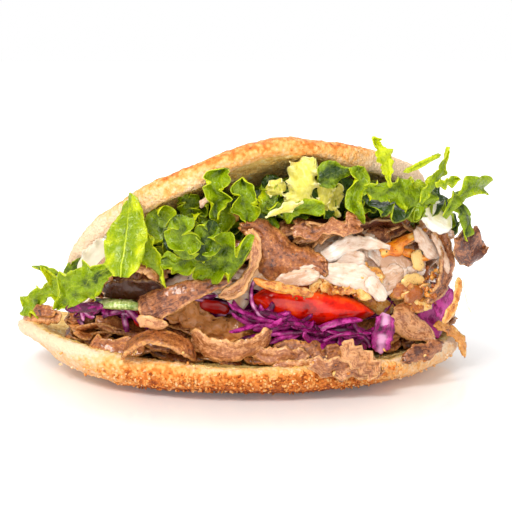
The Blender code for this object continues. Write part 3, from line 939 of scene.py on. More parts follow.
@dataclass
class Leaf(Sheet):
    """A lettuce leaf's tip, with a margin that ruffles and rolls over."""

    thick: float = 0.6
    rag: float = 0.03
    rag_size: float = 5.0
    folds: float = 1.4
    grit: float = 0.02
    cell: float = 0.55
    ruffle: float = 70.0  # how far its margin rolls, in degrees
    ruffle_size: float = 11.0
    lag: float = 0.35  # how far its ruffles slant, as a share of one
    inward: float = 20.0  # how far the margin rolls towards the viewer on the whole
    rib: float = 0.25  # how brightly its middle rib shows
    crimp: float = 20.0  # how far its very margin rolls, in degrees
    crimp_size: float = 5.2
    below: float = 1.3  # how much paler its underside is

    def ends(self, share: float, across: float) -> float:
        """How far its margin strays along its length, as its ruffles fan out.

        Args:
            share: The place along its length.
            across: The place across it.

        Returns:
            How far the place moves along its length.
        """
        side = 11.0 if across > 0 else 0.0
        fan = 0.16 * self.ruffle_size * self.ruffle / 90.0 * abs(across) ** 1.5
        stray = fan * math.cos(self.phase(share, across, side)) * smooth(0.0, 0.12, share)
        out = 2.0 * share - 1.0
        blunt = 0.0 if self.outline else 0.2 * self.length * out**3 * across * across
        return stray * smooth(1.0, 0.88, share) - blunt

    def phase(self, share: float, across: float, side: float) -> float:
        """Where a place lies in its ruffles.

        Args:
            share: The place along its length.
            across: The place across it.
            side: What sets this margin's ruffles apart from the other's.

        Returns:
            The place, in radians.
        """
        along = share * self.length / self.ruffle_size
        uneven = 0.45 * self.chance(along, 80.0 + side)
        return math.tau * (along + uneven - self.lag * abs(across)) + 2.1 * side + self.seed

    def slope(self, share: float, across: float) -> float:
        """How steeply its cross-section climbs outwards, with its margin rolled to and fro.

        Args:
            share: The place along its length.
            across: The place across it.

        Returns:
            The slope, in radians.
        """
        side = 11.0 if across > 0 else 0.0
        swing = math.sin(self.phase(share, across, side))
        swing += 0.35 * self.chance(2.0 * share * self.length / self.ruffle_size, 90.0 + side)
        rolled = math.radians(self.ruffle) * swing + math.radians(self.inward)
        along = share * self.length
        uneven = along / self.crimp_size + 0.9 * self.chance(along / 6.0, side)
        crimped = math.radians(self.crimp) * math.sin(math.tau * uneven + self.seed + side)
        climb = math.radians(0.5 * self.cup) * abs(across) + rolled * smooth(0.1, 1.0, abs(across))
        return climb + crimped * smooth(0.5, 0.95, abs(across))

    def lift(self, share: float, across: float) -> float:
        """How far it stands up: broad folds, a curled tip and blisters between its veins.

        Args:
            share: The place along its length.
            across: The place across it.

        Returns:
            The height.
        """
        along, side = share * self.length, across * 0.5 * self.width
        broad = super().lift(share, across)
        curled = 0.06 * self.length * smooth(0.6, 1.0, share) * math.sin(2.0 * across + self.seed)
        blister = 0.16 * self.chance(along / 2.4, side / 2.0 + 100.0)
        return broad + curled + blister

    def half(self, share: float, across: float) -> float:
        """Half its thickness: thickest along its rib."""
        rib = math.exp(-((across * 0.5 * self.width / 0.9) ** 2)) * (1.0 - 0.7 * share)
        return 0.5 * self.thick * (1.0 + 2.0 * self.rib * rib - 0.3 * smooth(0.6, 1.0, abs(across)))

    def shades(self, share: float, across: float) -> tuple[float, float]:
        """Painted light and shade: brighter towards its margin and darker towards its middle, with
        a pale rib, faint side veins and a thin painted highlight along its edge.

        Args:
            share: The place along its length.
            across: The place across it.

        Returns:
            Its tone and its accent there.
        """
        along, side = share * self.length, abs(across) * 0.5 * self.width
        patch = self.chance(along / 7.0, across * 0.5 * self.width / 6.0 + 50.0)
        rib = self.rib * math.exp(-((side / 0.4) ** 2)) * (1.0 - 0.5 * share)
        lag = (along - 0.9 * side + 1.5 * patch) / 4.5
        vein = 0.2 * smooth(0.09, 0.0, abs(lag - round(lag))) * smooth(0.9, 0.4, abs(across))
        inwards = (1.0 - max(abs(across), 2.0 * share - 1.0)) * 0.5 * self.width
        # A thin bright edge: a painted highlight where light catches the margin.
        edge = 0.4 * smooth(0.4, 0.1, inwards)
        # Painted light and shade: lighter towards the margin, darker towards the middle where curls
        # would shade it.
        tone = self.tone + 0.5 * patch + 0.8 * smooth(0.1, 1.0, abs(across)) - 0.45
        return tone, max(rib, vein, edge)


@dataclass
class Shred(Sheet):
    """A shred of cabbage, pale inside and coloured at its skin."""

    thick: float = 1.2
    rag: float = 0.12
    rag_size: float = 3.0
    folds: float = 0.5
    grit: float = 0.06
    cell: float = 0.8
    pale: float = 0.75  # how pale its inside shows between its edges

    def half(self, share: float, across: float) -> float:
        """Half its thickness, with crisp cut edges."""
        edge = max(abs(across), abs(2.0 * share - 1.0))
        return 0.5 * self.thick * (1.0 - 0.5 * smooth(0.85, 1.0, edge))

    def shades(self, share: float, across: float) -> tuple[float, float]:
        """Pale along its middle, deep at its edges.

        Args:
            share: The place along its length.
            across: The place across it.

        Returns:
            Its tone and its accent there.
        """
        patch = self.chance(share * self.length / 4.0, 60.0)
        vein = self.chance(share * self.length / 9.0, across * 0.5 * self.width / 1.1 + 90.0)
        inside = smooth(0.85, 0.1, abs(across)) * smooth(0.1, 0.7, 0.5 + patch)
        return self.tone + 0.6 * patch + 0.5 * vein, self.pale * inside


@dataclass
class Loose:
    """A loose piece that shows, modelled again where its solid lies."""

    node: str
    sheet: Sheet
    shift: Colour = (0.0, 0.0, 0.0)

    def build(self) -> None:
        """Builds the piece in place of its solid."""
        at = middle(*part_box(self.node)) / MM + Vector(self.shift)
        self.sheet.seed = own_seed(self.node)
        piece = self.sheet.make(self.sheet.facing(at.x), at, centred=True)
        piece.finish(self.node + "_piece", self.sheet.look, self.node)


class Front:
    """The solids as the viewer sees them, to lay small things on."""

    line_of_sight = Vector((0.0, 0.988, -0.156))
    plane = -50.0  # the upright plane that places are measured on
    run_up = 100.0  # how far in front of it a line of sight starts

    def __init__(self, *names: str) -> None:
        """Gathers the solids.

        Args:
            names: Their names, or none for all of them.
        """
        whole = bmesh.new()
        for name in names or frame["nodes"]:
            whole.from_mesh(frame["nodes"][name].data)
        whole.transform(Matrix.Scale(1.0 / MM, 4))
        self.tree = BVHTree.FromBMesh(whole)
        whole.free()

    def on(self, across: float, up: float) -> Vector | None:
        """The first place that a line of sight meets, if it meets one.

        Args:
            across: Where the line crosses the plane, along +X.
            up: How high it crosses the plane.

        Returns:
            The place on the solids, in millimetres.
        """
        start = Vector((across, self.plane, up)) - self.run_up * self.line_of_sight
        return self.tree.ray_cast(start, self.line_of_sight)[0]


@dataclass
class Scrap:
    """A small piece without a solid of its own, which lies on what shows there."""

    name: str
    across: float
    up: float
    sheet: Sheet
    proud: float = 1.0
    depth: float | None = None  # where it lies along Y, if it lies on nothing

    def build(self, front: Front) -> None:
        """Lays the scrap where its line of sight meets the sandwich.

        Args:
            front: The sandwich as the viewer sees it.
        """
        self.sheet.seed = own_seed(self.name)
        place = None if self.depth is not None else front.on(self.across, self.up)
        if place is None:
            y = self.depth if self.depth is not None else front.plane
            ahead = (y - front.plane) / front.line_of_sight.y
            place = Vector((self.across, front.plane, self.up)) + ahead * front.line_of_sight
        at = place - self.proud * front.line_of_sight
        piece = self.sheet.make(self.sheet.facing(at.x), at, centred=True)
        piece.finish(self.name, self.sheet.look)


@dataclass
class Heap:
    """A bed or clump: a shrunken core in relief, with real pieces heaped over its sides."""

    node: str
    look: Finishes
    count: int
    kind: type[Sheet] = Sheet
    length: tuple[float, float] = (14.0, 30.0)
    width: tuple[float, float] = (6.0, 12.0)
    roll: tuple[float, float] = (-25.0, 65.0)  # from lying in its layer to facing outwards
    heading: float = 22.0  # how far its length strays from along the rim
    proud: float = 1.0  # how far its middle stands out of the solid's side
    upright: float = 0.75  # the steepest face of the solid that counts as its side
    shrink: float = 3.0
    lumps: float = 1.2
    lump_size: float = 4.5
    core_cell: float = 2.4
    seed: int = 1
    toward: Vector | None = None  # only the sides that face this way
    facing: float = 0.35  # how nearly they face it, 1 for wholly
    start: float = -200.0  # and only to the right of this
    lower: float = 0.0  # how far its top lies below its solid's
    extra: dict = field(default_factory=dict)  # what else its pieces have, or from where to where

    def core(self) -> Piece:
        """The solid shrunk, cut finer and worked into lumps.

        Returns:
            The core, darkened all over as painted shade in the gaps between its pieces.
        """
        bm = solid(self.node)
        low, high = (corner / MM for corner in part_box(self.node))
        size = high - low
        shares = [max(0.3, 1.0 - 2.0 * self.shrink / side) for side in size]
        shares[2] = max(0.55, 1.0 - 0.5 * self.shrink / size.z)
        centre = middle(low, high)
        bm.transform(Matrix.Translation(-centre))
        bm.transform(Matrix.Diagonal((*shares, 1.0)))
        bm.transform(Matrix.Translation(centre))
        piece = Piece()
        reshape(bm, piece.bm, REMESH={"mode": "VOXEL", "voxel_size": self.core_cell})
        for vert, normal in outwards(piece.bm):
            place = vert.co / self.lump_size
            vert.co = vert.co + normal * self.lumps * noise.noise(place)
            vert.co.z -= self.lower * smooth(-0.2, 0.6, normal.z)
            # Painted shade: the core is toned dark to stand for the shade in the gaps between the
            # heaped pieces.
            vert[piece.tone] = -1.0 + 0.6 * noise.noise(place * 2.0)
        return piece

    def places(self, chance: random.Random) -> list[tuple[Vector, Vector]]:
        """Places spread evenly over the solid's sides.

        Args:
            chance: Where the random draws come from.

        Returns:
            Each place, with the way out of it.
        """
        bm = solid(self.node)
        bmesh.ops.triangulate(bm, faces=bm.faces)
        sides = [face for face in bm.faces if abs(face.normal.z) < self.upright]
        if self.toward:
            sides = [face for face in bm.faces if face.normal.dot(self.toward) > self.facing]
        sides = [face for face in sides if face.calc_center_median().x > self.start]
        areas = [face.calc_area() for face in sides]
        spots = []
        for index in range(self.count):
            left = sum(areas) * (index + chance.random()) / self.count
            for face, area in zip(sides, areas):
                left -= area
                if left <= 0.0:
                    break
            a, b = sorted((chance.random(), chance.random()))
            corners = [vert.co for vert in face.verts]
            place = corners[0] * a + corners[1] * (b - a) + corners[2] * (1.0 - b)
            spots.append((place, face.normal.copy()))
        bm.free()
        return spots

    def turn(self, outward: Vector, chance: random.Random) -> Matrix:
        """How a piece is turned.

        Args:
            outward: The way out of the solid's side where it lies.
            chance: Where the random draws come from.

        Returns:
            The turn.
        """
        flat = Vector((outward.x, outward.y, 0.0)).normalized()
        along = Vector((0, 0, 1)).cross(flat)
        basis = Matrix((along, -flat, Vector((0, 0, 1)))).transposed()
        heading = Matrix.Rotation(math.radians(chance.uniform(-1, 1) * self.heading), 3, flat)
        spin = Matrix.Rotation(math.radians(chance.uniform(-25, 25)), 3, "Z")
        roll = Matrix.Rotation(math.radians(chance.uniform(*self.roll)), 3, "X")
        return heading @ spin @ basis @ roll

    def one(self, chance: random.Random, index: int) -> Sheet:
        """One loose piece of the heap, unlike its neighbours.

        Args:
            chance: Where the random draws come from.
            index: Its number.

        Returns:
            The piece, not yet modelled.
        """
        sheet = self.kind(self.look, chance.uniform(*self.length), chance.uniform(*self.width))
        sheet.curl = chance.uniform(-70, 70)
        sheet.cup = chance.uniform(-60, 40)
        sheet.sweep = chance.uniform(-25, 25)
        sheet.twist = chance.uniform(-30, 30)
        sheet.foot = chance.uniform(0.35, 0.9)
        sheet.tip = chance.uniform(0.3, 0.9)
        sheet.tone = chance.uniform(-0.5, 0.4)
        sheet.cell = 1.25
        sheet.seed = self.seed + 0.37 * index
        for name, value in self.extra.items():
            setattr(sheet, name, chance.uniform(*value) if isinstance(value, tuple) else value)
        return sheet

    def build(self) -> None:
        """Builds the heap in place of its solid."""
        chance = random.Random(self.seed)
        heap = self.core()
        for index, (place, outward) in enumerate(self.places(chance)):
            sheet = self.one(chance, index)
            turn = self.turn(outward, chance)
            proud = self.proud * chance.uniform(-1.0, 1.0)
            place = place + outward * proud - Vector((0.0, 0.0, self.lower))
            heap.join(sheet.make(turn, place))
        heap.finish(self.node + "_heap", self.look, self.node)


@dataclass
class Cut:
    """A cut vegetable: its solid, smoothed, with a skin round it."""

    node: str
    look: Finishes
    steps: int = 3
    relief: float = 0.12
    swell: float = 0.0  # what its edges lose when it is smoothed
    crease: float = 0.0  # how sharp its edges stay
    sharpest: float = 0.7  # the turn between two faces, in radians, from which they meet in an edge

    def build(self) -> None:
        """Builds the piece in place of its solid."""
        bm = solid(self.node)
        bmesh.ops.join_triangles(
            bm, faces=bm.faces, angle_face_threshold=0.3, angle_shape_threshold=0.9
        )
        for vert, out in outwards(bm):
            vert.co = vert.co + out * self.swell
        creases = bm.edges.layers.float.new("crease_edge")
        for edge in bm.edges:
            if edge.calc_face_angle(0.0) > self.sharpest:
                edge[creases] = self.crease
        piece = Piece()
        reshape(bm, piece.bm, SUBSURF={"levels": self.steps, "render_levels": self.steps})
        self.dress(piece)
        piece.finish(self.node + "_piece", self.look, self.node)

    def halves(self) -> tuple[Vector, Vector]:
        """The middle of its solid and half its size, in millimetres."""
        low, high = (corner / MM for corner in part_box(self.node))
        return middle(low, high), 0.5 * (high - low)

    def dress(self, piece: Piece) -> None:
        """Swells the flesh a little and colours it from its heart to its skin.

        Args:
            piece: The smoothed piece.
        """
        centre, half = self.halves()
        piece.bm.normal_update()
        for vert in piece.bm.verts:
            off = vert.co - centre
            out = math.hypot(off.x / half.x, off.z / half.z)
            stripe = noise.noise(Vector((off.x / 0.9, off.z / 9.0, 0.0)))
            vert[piece.tone] = 0.9 * stripe + 0.4 * noise.noise(vert.co / 5.0)
            vert[piece.accent] = smooth(0.82, 0.95, out)
            vert.co = vert.co + vert.normal * self.relief * noise.noise(vert.co / 3.0)


@dataclass
class Wedge(Cut):
    """A wedge of tomato, glossy, with pale flesh along its upper edge."""

    def dress(self, piece: Piece) -> None:
        """Colours the flesh brighter towards its upper edge and its tips.

        Args:
            piece: The smoothed piece.
        """
        centre, half = self.halves()
        piece.bm.normal_update()
        for vert in piece.bm.verts:
            off = vert.co - centre
            up = off.z / half.z + 0.55 * off.x / half.x
            vert[piece.tone] = 0.7 * up + 0.5 * noise.noise(vert.co / 6.0)
            vert[piece.accent] = 0.5 * smooth(0.35, 0.8, up) * smooth(0.2, 0.8, vert.normal.z)
            vert.co = vert.co + vert.normal * self.relief * noise.noise(vert.co / 5.0)


@dataclass
class Crumbs:
    """Grains and crumbs, scattered where they show."""

    name: str
    look: Finishes
    count: int
    across: tuple[float, float]
    up: tuple[float, float]
    size: tuple[float, float] = (0.5, 1.1)
    tone: tuple[float, float] = (-1.0, 1.0)
    node: str = ""  # the one solid that they lie on, if they keep to one
    finer: int = 1  # how often the faces of each are cut up
    seed: int = 5
    hidden: float = 0.5  # how far in front of a place another solid hides it

    def tint(self, x: float, chance: random.Random) -> float:
        """The tone of the grain at x."""
        return chance.uniform(*self.tone)

    def stays(self, x: float, chance: random.Random) -> bool:
        """Whether a grain lies at x."""
        return True

    def build(self) -> bpy.types.Object:
        """Builds the grains where lines of sight meet the solids.

        Returns:
            All of them, as one object.
        """
        chance = random.Random(self.seed)
        front = Front()
        own = Front(self.node) if self.node else front
        piece = Piece()
        for _ in range(self.count):
            across, up = chance.uniform(*self.across), chance.uniform(*self.up)
            place = own.on(across, up)
            if not place or (front.on(across, up) - place).length > self.hidden:
                continue
            if not self.stays(place.x, chance):
                continue
            size = chance.uniform(*self.size)
            turn = Matrix.Rotation(chance.uniform(0.0, 6.0), 4, Vector((chance.random(), 1, 0.3)))
            shape = Matrix.Diagonal((size, 0.7 * size, 0.6 * size, 1.0))
            spot = Matrix.Translation(place - 0.2 * size * front.line_of_sight) @ turn @ shape
            grain = bmesh.ops.create_icosphere(
                piece.bm, subdivisions=self.finer, radius=1.0, matrix=spot
            )
            tone = self.tint(place.x, chance)
            for vert in grain["verts"]:
                vert[piece.tone] = tone
                knob = 1.0 + 0.45 * noise.noise(vert.co / 0.9)
                vert.co = place + (vert.co - place) * knob
        return piece.finish(self.name, self.look)


@dataclass
class Semolina(Crumbs):
    """Grains of semolina baked on the crust, paler and fewer towards its ends."""

    def tint(self, x: float, chance: random.Random) -> float:
        """Its bake at x."""
        return chance.uniform(*self.tone) - faded(x)

    def stays(self, x: float, chance: random.Random) -> bool:
        """Fewer grains lie towards the ends."""
        return chance.random() > 0.85 * smooth(40.0, 90.0, abs(x - MIDDLE_X))

    def build(self) -> bpy.types.Object:
        """Builds the grains with the crust's own finish.

        Returns:
            All of them, as one object.
        """
        made = super().build()
        made.data.materials.clear()
        made.data.materials.append(bpy.data.materials["finish_crust"])
        return made


@dataclass
class Bread:
    """The flatbread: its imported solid, remeshed fine and baked."""

    node: str = "bread"
    voxel: float = 1.15
    lid_centre: Colour = (-3.0, 10.0, 61.5)
    lid_tilt: float = 30.0
    lid_roll: float = 14.0
    lip_drop: float = 2.5  # how far the lid's front lip hangs below its solid's
    lip_rise: float = 4.0  # how far the lower lip stands above its solid's at the left
    flat: float = 0.6  # how high the flat that it lies on reaches, which gets no relief

    def remeshed(self) -> bmesh.types.BMesh:
        """The solid, smoothed and cut into small even faces.

        Returns:
            Its mesh, in millimetres.
        """
        bm = solid(self.node)
        bmesh.ops.join_triangles(
            bm, faces=bm.faces, angle_face_threshold=0.6, angle_shape_threshold=0.6
        )
        done = bmesh.new()
        reshape(
            bm, done,
            SUBSURF={"levels": 2, "render_levels": 2},
            REMESH={"mode": "VOXEL", "voxel_size": self.voxel},
        )
        return done

    def lid(self) -> Matrix:
        """The lid's own plane.

        Returns:
            Its place and its turn.
        """
        roll = Matrix.Rotation(math.radians(-self.lid_roll), 4, "Y")
        tilt = Matrix.Rotation(math.radians(-self.lid_tilt), 4, "X")
        return Matrix.Translation(self.lid_centre) @ roll @ tilt

    def upper(self, own: Vector) -> float:
        """How far a place in the lid's own plane belongs to the lid."""
        return smooth(-6.0, -1.0, own.z)

    def blister(self, place: Vector) -> float:
        """How far a place lies on a blister of the crust."""
        return smooth(0.1, 0.5, noise.noise(place / 3.4))

    def crumb(self, place: Vector, own: Vector, normal: Vector, up: Vector) -> float:
        """How far a place belongs to the cut crumb inside.

        Args:
            place: The place on the bread.
            own: The same place in the lid's own plane.
            normal: The way the surface faces.
            up: The way the lid's crust faces.

        Returns:
            The share, from 0, crust, to 1.
        """
        under = smooth(0.1, -0.2, normal.dot(up)) * smooth(-5.0, -2.0, own.z)
        inside_lid = under * smooth(0.93, 0.91, LID_RIM.out(own))
        on_floor = smooth(0.2, 0.5, normal.z) * smooth(25.0, 20.0, place.z)
        inside_rim = on_floor * smooth(0.965, 0.935, RIM.out(place))
        ragged = 0.15 * noise.noise(place / 2.4)
        return smooth(0.35, 0.65, max(inside_lid, inside_rim) + ragged)

    def shades(self, place: Vector, own: Vector) -> tuple[float, float]:
        """How the crust is baked.

        Args:
            place: The place on the bread.
            own: The same place in the lid's own plane.

        Returns:
            Its tone there, and how far it is toasted dark.
        """
        upper, ends = self.upper(own), faded(place.x)
        top = smooth(1.0, 9.0, own.z) * upper
        low = smooth(8.0, 1.5, place.z) * (1.0 - ends)
        rim = smooth(9.0, 14.0, place.z)
        bake = upper * (top - 0.4) + (1.0 - upper) * (0.6 + 0.5 * low - 0.8 * rim)
        far = smooth(35.0, 70.0, place.x) * upper
        peak = self.blister(place) * smooth(5.0, 10.0, own.z) * upper
        tone = bake - ends - 0.7 * far + 0.35 * noise.noise(place / 21.0)
        return tone, 0.55 * low * (1.0 - upper) + 0.5 * peak * (1.0 - ends)

    def relief(self, place: Vector, crumb: float) -> float:
        """How far a place stands out of the smooth bread.

        Args:
            place: The place on the bread.
            crumb: How far it belongs to the cut crumb.

        Returns:
            The height, in millimetres.
        """
        swell = 0.8 * noise.noise(place / 17.0) + 0.3 * noise.noise(place / 6.5)
        blister = 0.45 * self.blister(place)
        grit = 0.25 * noise.noise(place / 1.4)
        crust = swell + blister + grit
        pores = -0.75 * smooth(0.42, 0.12, noise.voronoi(place / 2.9)[0][0])
        crumbs = 0.55 * noise.noise(place / 2.2) + 0.3 * noise.noise(place / 1.2)
        return crust + crumb * (pores + crumbs - grit - 0.5 * blister)

    def lips(self, place: Vector, own: Vector, up: Vector) -> tuple[Vector, Vector]:
        """How far the lower lip stands up and the lid's lip hangs.

        Args:
            place: The place on the bread.
            own: The same place in the lid's own plane.
            up: The way the lid's crust faces.

        Returns:
            How far the place rises, and how far it drops.
        """
        upper, reach = self.upper(own), LID_RIM.out(own)
        lip = smooth(0.84, 0.92, reach) * smooth(1.0, 0.95, reach) * smooth(6.0, 1.0, own.z)
        hang = up * self.lip_drop * lip * upper * smooth(20.0, -30.0, own.y)
        lip = smooth(0.8, 0.92, RIM.out(place)) * smooth(5.0, 12.0, place.z) * (1.0 - upper)
        rise = self.lip_rise * lip * (0.4 + 0.6 * smooth(-5.0, -60.0, place.x))
        return Vector((0.0, 0.0, rise * smooth(20.0, -10.0, place.y))), hang

    def dress(self) -> bpy.types.Material:
        """The baked crust and the crumb.

        Returns:
            Their material.
        """
        nodes = Nodes("finish_crust")
        broad = nodes.noise(9.0, 3.0, 0.6)
        fine = nodes.noise(2.2, 5.0, 0.75)
        blisters = nodes.cells(1.9, "SMOOTH_F1")
        value = nodes.math("MULTIPLY", nodes.attribute("tone"), 0.36)
        for pattern, share in ((broad, 0.5), (fine, 0.55), (blisters, 0.5)):
            step = nodes.math("MULTIPLY", nodes.math("SUBTRACT", pattern, 0.5), share)
            value = nodes.math("ADD", value, step)
        crust = nodes.ramp(
            nodes.math("ADD", value, 0.5),
            (0.14, srgb(250, 216, 180)),
            (0.36, srgb(250, 200, 144)),
            (0.54, srgb(248, 178, 98)),
            (0.72, srgb(230, 130, 44)),
            (0.92, srgb(156, 72, 20)),
        )
        toast = nodes.math("ADD", nodes.noise(1.6, 3.0, 0.7), nodes.attribute("toast"))
        toast = nodes.ramp(toast, (1.02, 0.0), (1.2, 1.0))
        crust = nodes.mix(toast, crust, srgb(112, 54, 16))
        inside = nodes.ramp(
            nodes.noise(3.5, 5.0, 0.65),
            (0.32, srgb(214, 156, 66)),
            (0.5, srgb(242, 198, 112)),
            (0.68, srgb(254, 232, 172)),
        )
        look = nodes.mix(nodes.attribute("accent"), crust, inside)
        nodes.put(nodes.shader.inputs["Base Color"], look)
        grains = nodes.cells(1.2)
        nodes.bump((fine, 0.5), (grains, -0.55), (nodes.noise(0.5, 3.0), 0.12))
        nodes.shine(0.6, under=0.08, depth=(1.6, 1.0, 0.6), gloss=0.35)
        return nodes.material

    def build(self) -> None:
        """Builds the bread in place of its solid."""
        bm = self.remeshed()
        tone = bm.verts.layers.float.new("tone")
        accent = bm.verts.layers.float.new("accent")
        toast = bm.verts.layers.float.new("toast")
        lid = self.lid()
        home, up = lid.inverted(), lid.col[2].to_3d()
        for vert, normal in outwards(bm):
            place = vert.co.copy()
            own = home @ place
            crumb = self.crumb(place, own, normal, up)
            vert[tone], vert[toast] = self.shades(place, own)
            vert[accent] = crumb
            height = self.relief(place, crumb) if place.z > self.flat else 0.0
            rise, hang = self.lips(place, own, up)
            vert.co = place + rise - hang + normal * height * smooth(self.flat, 2.0, place.z)
        made = standing("flatbread", bm, self.dress())
        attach(made, BODY)
        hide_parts(self.node)


M, P, F = Finishes.MEAT, Finishes.MEAT_PALE, Finishes.FRIED
TORN = (
    (0, 0.3, 0.3), (0.1, 0.8, 0.5), (0.2, 0.4, 0.9), (0.35, 0.9, 0.7), (0.45, 0.6, 1.0),
    (0.6, 1.0, 0.6), (0.7, 0.5, 0.9), (0.85, 0.9, 0.5), (0.93, 0.4, 0.8), (1, 0.1, 0.1),
)
LOOSE = (
    Loose("meat_low_hump", Sheet(
        M, 38, 18, -24, roll=-8, cup=-95, thick=2.6, folds=3.0, grit=0.36, rag=0.12, tone=0.9,
        outline=(
            (0, -0.3, 0.9), (0.08, 0.3, 1.0), (0.18, 0.95, 1.0), (0.24, 0.8, 1.0), (0.35, 0.4, 1.0),
            (0.5, 0.3, 1.0), (0.6, 0.4, 1.0), (0.7, 0.75, 0.9), (0.85, 0.8, 0.8), (1, 0.3, 0.3),
        ),
    )),
    Loose("meat_low_fold", Sheet(
        P, 26, 15, -34, roll=-12, cup=-75, tone=0.3, folds=1.4, rag=0.08,
        outline=(
            (0, 0.2, 0.5), (0.1, 0.7, 0.8), (0.25, 1.2, 0.9), (0.4, 0.9, 1.0), (0.6, 0.7, 0.9),
            (0.85, 0.5, 0.5), (1, 0.1, 0.2),
        ),
    )),
    Loose("meat_low_left", Sheet(
        M, 25, 11, -12, roll=-20, cup=40, rag=0.14,
        outline=(
            (0, 0.1, 0.2), (0.1, 1.3, 0.1), (0.2, 1.0, 0.1), (0.4, 1.2, 0.3), (0.55, 1.4, 0.3),
            (0.65, 1.8, 0.2), (0.85, 1.9, -0.2), (0.95, 1.5, -0.6), (1, 1.2, -1.0),
        ),
    )),
    Loose("meat_low_arch", Sheet(
        M, 42, 10, 3, roll=114, curl=140, thick=2.4, tone=0.2,
    ), (0.0, -1.0, 3.0)),
    Loose("meat_low_right", Sheet(
        P, 24, 8, 14, roll=-12, cup=-50, tone=-0.3, rag=0.25,
    ), (0.0, 0.0, 3.0)),
    Loose("meat_low_ragged", Sheet(
        M, 42, 12, -2, roll=-24, cup=25, rag=0.14,
        outline=(
            (0, 0.1, 0.2), (0.1, 0.5, 0.3), (0.2, 0.8, 0.4), (0.25, 1.3, 0.4), (0.36, 1.45, 0.4),
            (0.5, 1.35, 0.4), (0.65, 1.45, 0.4), (0.75, 1.05, 0.4), (0.88, 1.1, 0.2), (1, 0.3, 0.1),
        ),
    )),
    Loose("meat_low_smile", Sheet(
        P, 40, 11, 2, roll=26, curl=-115, tip=0.6, thick=2.2, tone=0.1,
        outline=(
            (0, 0.6, 0.5), (0.12, 1.5, 0.8), (0.2, 1.0, 1.0), (0.6, 0.8, 1.0), (0.85, 0.7, 0.9),
            (0.93, 1.1, 0.7), (1, 0.4, 0.3),
        ),
    )),
    Loose("meat_tip_left", Sheet(P, 22, 6, 6, roll=-20, cup=-50, rag=0.25, tone=0.2)),
    Loose("meat_saddle", Sheet(
        M, 43, 23, -29, roll=-6, cup=-70, curl=25, thick=2.6, folds=1.8, rag=0.06,
        outline=(
            (0, 0.3, -0.1), (0.08, 0.6, 0.05), (0.2, 0.75, 0.25), (0.3, 0.7, 0.35),
            (0.36, 0.68, 0.7), (0.42, 0.65, 1.1), (0.5, 0.62, 1.2), (0.6, 0.6, 1.0),
            (0.7, 0.62, 0.65), (0.8, 0.62, 0.35), (0.92, 0.55, 0.05), (1, 0.2, 0.0),
        ),
    )),
    # Toned dark as painted shade in the hollow.
    Loose("meat_hollow", Sheet(P, 27, 11, 8, roll=60, curl=55, tone=-1.0), (0.0, 6.0, -1.0)),
    Loose("meat_hook", Sheet(
        P, 35, 8, -112, sweep=-105, cup=90, thick=1.8, tone=0.3,
        outline=(
            (0, 0.6, 0.5), (0.15, 0.9, 0.6), (0.4, 0.5, 0.5), (0.6, 0.3, 0.4), (0.75, 0.8, 0.6),
            (0.9, 0.8, 0.7), (1, 0.2, 0.3),
        ),
    ), (-3.0, 0.0, 3.0)),
    Loose("meat_arch", Sheet(
        P, 43, 14, 4, roll=108, curl=140, thick=3.2, tone=0.5,
    ), (-1.0, -5.0, 4.5)),
    Loose("meat_tongue", Sheet(
        P, 42, 15, 22, roll=-22, cup=-35, rag=0.07, tone=-0.2,
        outline=(
            (0, 0.9, 0.2), (0.04, 1.2, 0.5), (0.12, 1.25, 0.6), (0.3, 1.15, 0.5), (0.45, 1.1, 0.3),
            (0.6, 1.0, 0.1), (0.8, 0.65, 0.05), (1, 0.35, 0.0),
        ),
    )),
    Loose("meat_ragged_top", Sheet(
        P, 31, 11, 6, roll=-25, rag=0.16, sharp=1.0,
        outline=(
            (0, 0.5, 0.2), (0.08, 1.1, 0.2), (0.2, 0.9, 0.5), (0.3, 0.4, 0.8), (0.4, 0.6, 0.4),
            (0.5, 0.5, 0.3), (0.58, 1.0, 0.3), (0.62, 1.2, 0.3), (0.7, 0.7, 0.5), (0.77, 0.4, 0.6),
            (0.83, 1.5, 0.6), (0.9, 1.2, 0.5), (0.95, 1.0, 0.5), (1, 0.2, 0.3),
        ),
    )),
    Loose("meat_pale_right", Sheet(
        P, 19, 12, -40, roll=-12, cup=-45, tone=0.6, folds=1.6, rag=0.1,
        outline=(
            (0, 0.3, 0.6), (0.2, 0.9, 0.9), (0.45, 1.1, 0.7), (0.6, 0.7, 1.0), (0.85, 0.9, 0.9),
            (1, 0.2, 0.4),
        ),
    )),
    Loose("meat_on_rim", Sheet(
        P, 34, 12, -7, roll=12, cup=-30, thick=1.2, rag=0.06, folds=2.2, grit=0.08, sharp=1.0,
        tone=0.1, outline=TORN,
    )),
    Loose("meat_roll", Sheet(
        P, 41, 11, -90, sweep=-95, cup=80, thick=2.2, tone=-0.2,
        outline=(
            (0, 0.3, 0.5), (0.2, 0.6, 0.5), (0.35, 0.8, 0.5), (0.5, 1.0, 0.5), (0.65, 1.0, 0.5),
            (0.8, 0.8, 0.5), (1, 0.3, 0.4),
        ),
    )),
    Loose("meat_flag", Sheet(
        P, 21, 15, -3, cup=-30, folds=1.6, thick=1.2, rag=0.05, sharp=0.9, tone=-0.5,
        outline=(
            (0, 0.6, 0.3), (0.1, 0.7, 0.6), (0.3, 1.1, 1.0), (0.42, 1.25, 1.1), (0.5, 0.6, 1.15),
            (0.58, 0.75, 1.1), (0.68, 1.3, 1.0), (0.74, 1.25, 0.9), (0.85, 0.5, 0.7),
            (0.93, 0.35, 0.5), (1, 0.1, 0.1),
        ),
    )),
)
L, Y = Finishes.LEAF, Finishes.LEAF_PALE
BEND = {"folds": 1.0, "rag": 0.2}
JAGGED = {"rag": 0.09, "rag_size": 1.8}
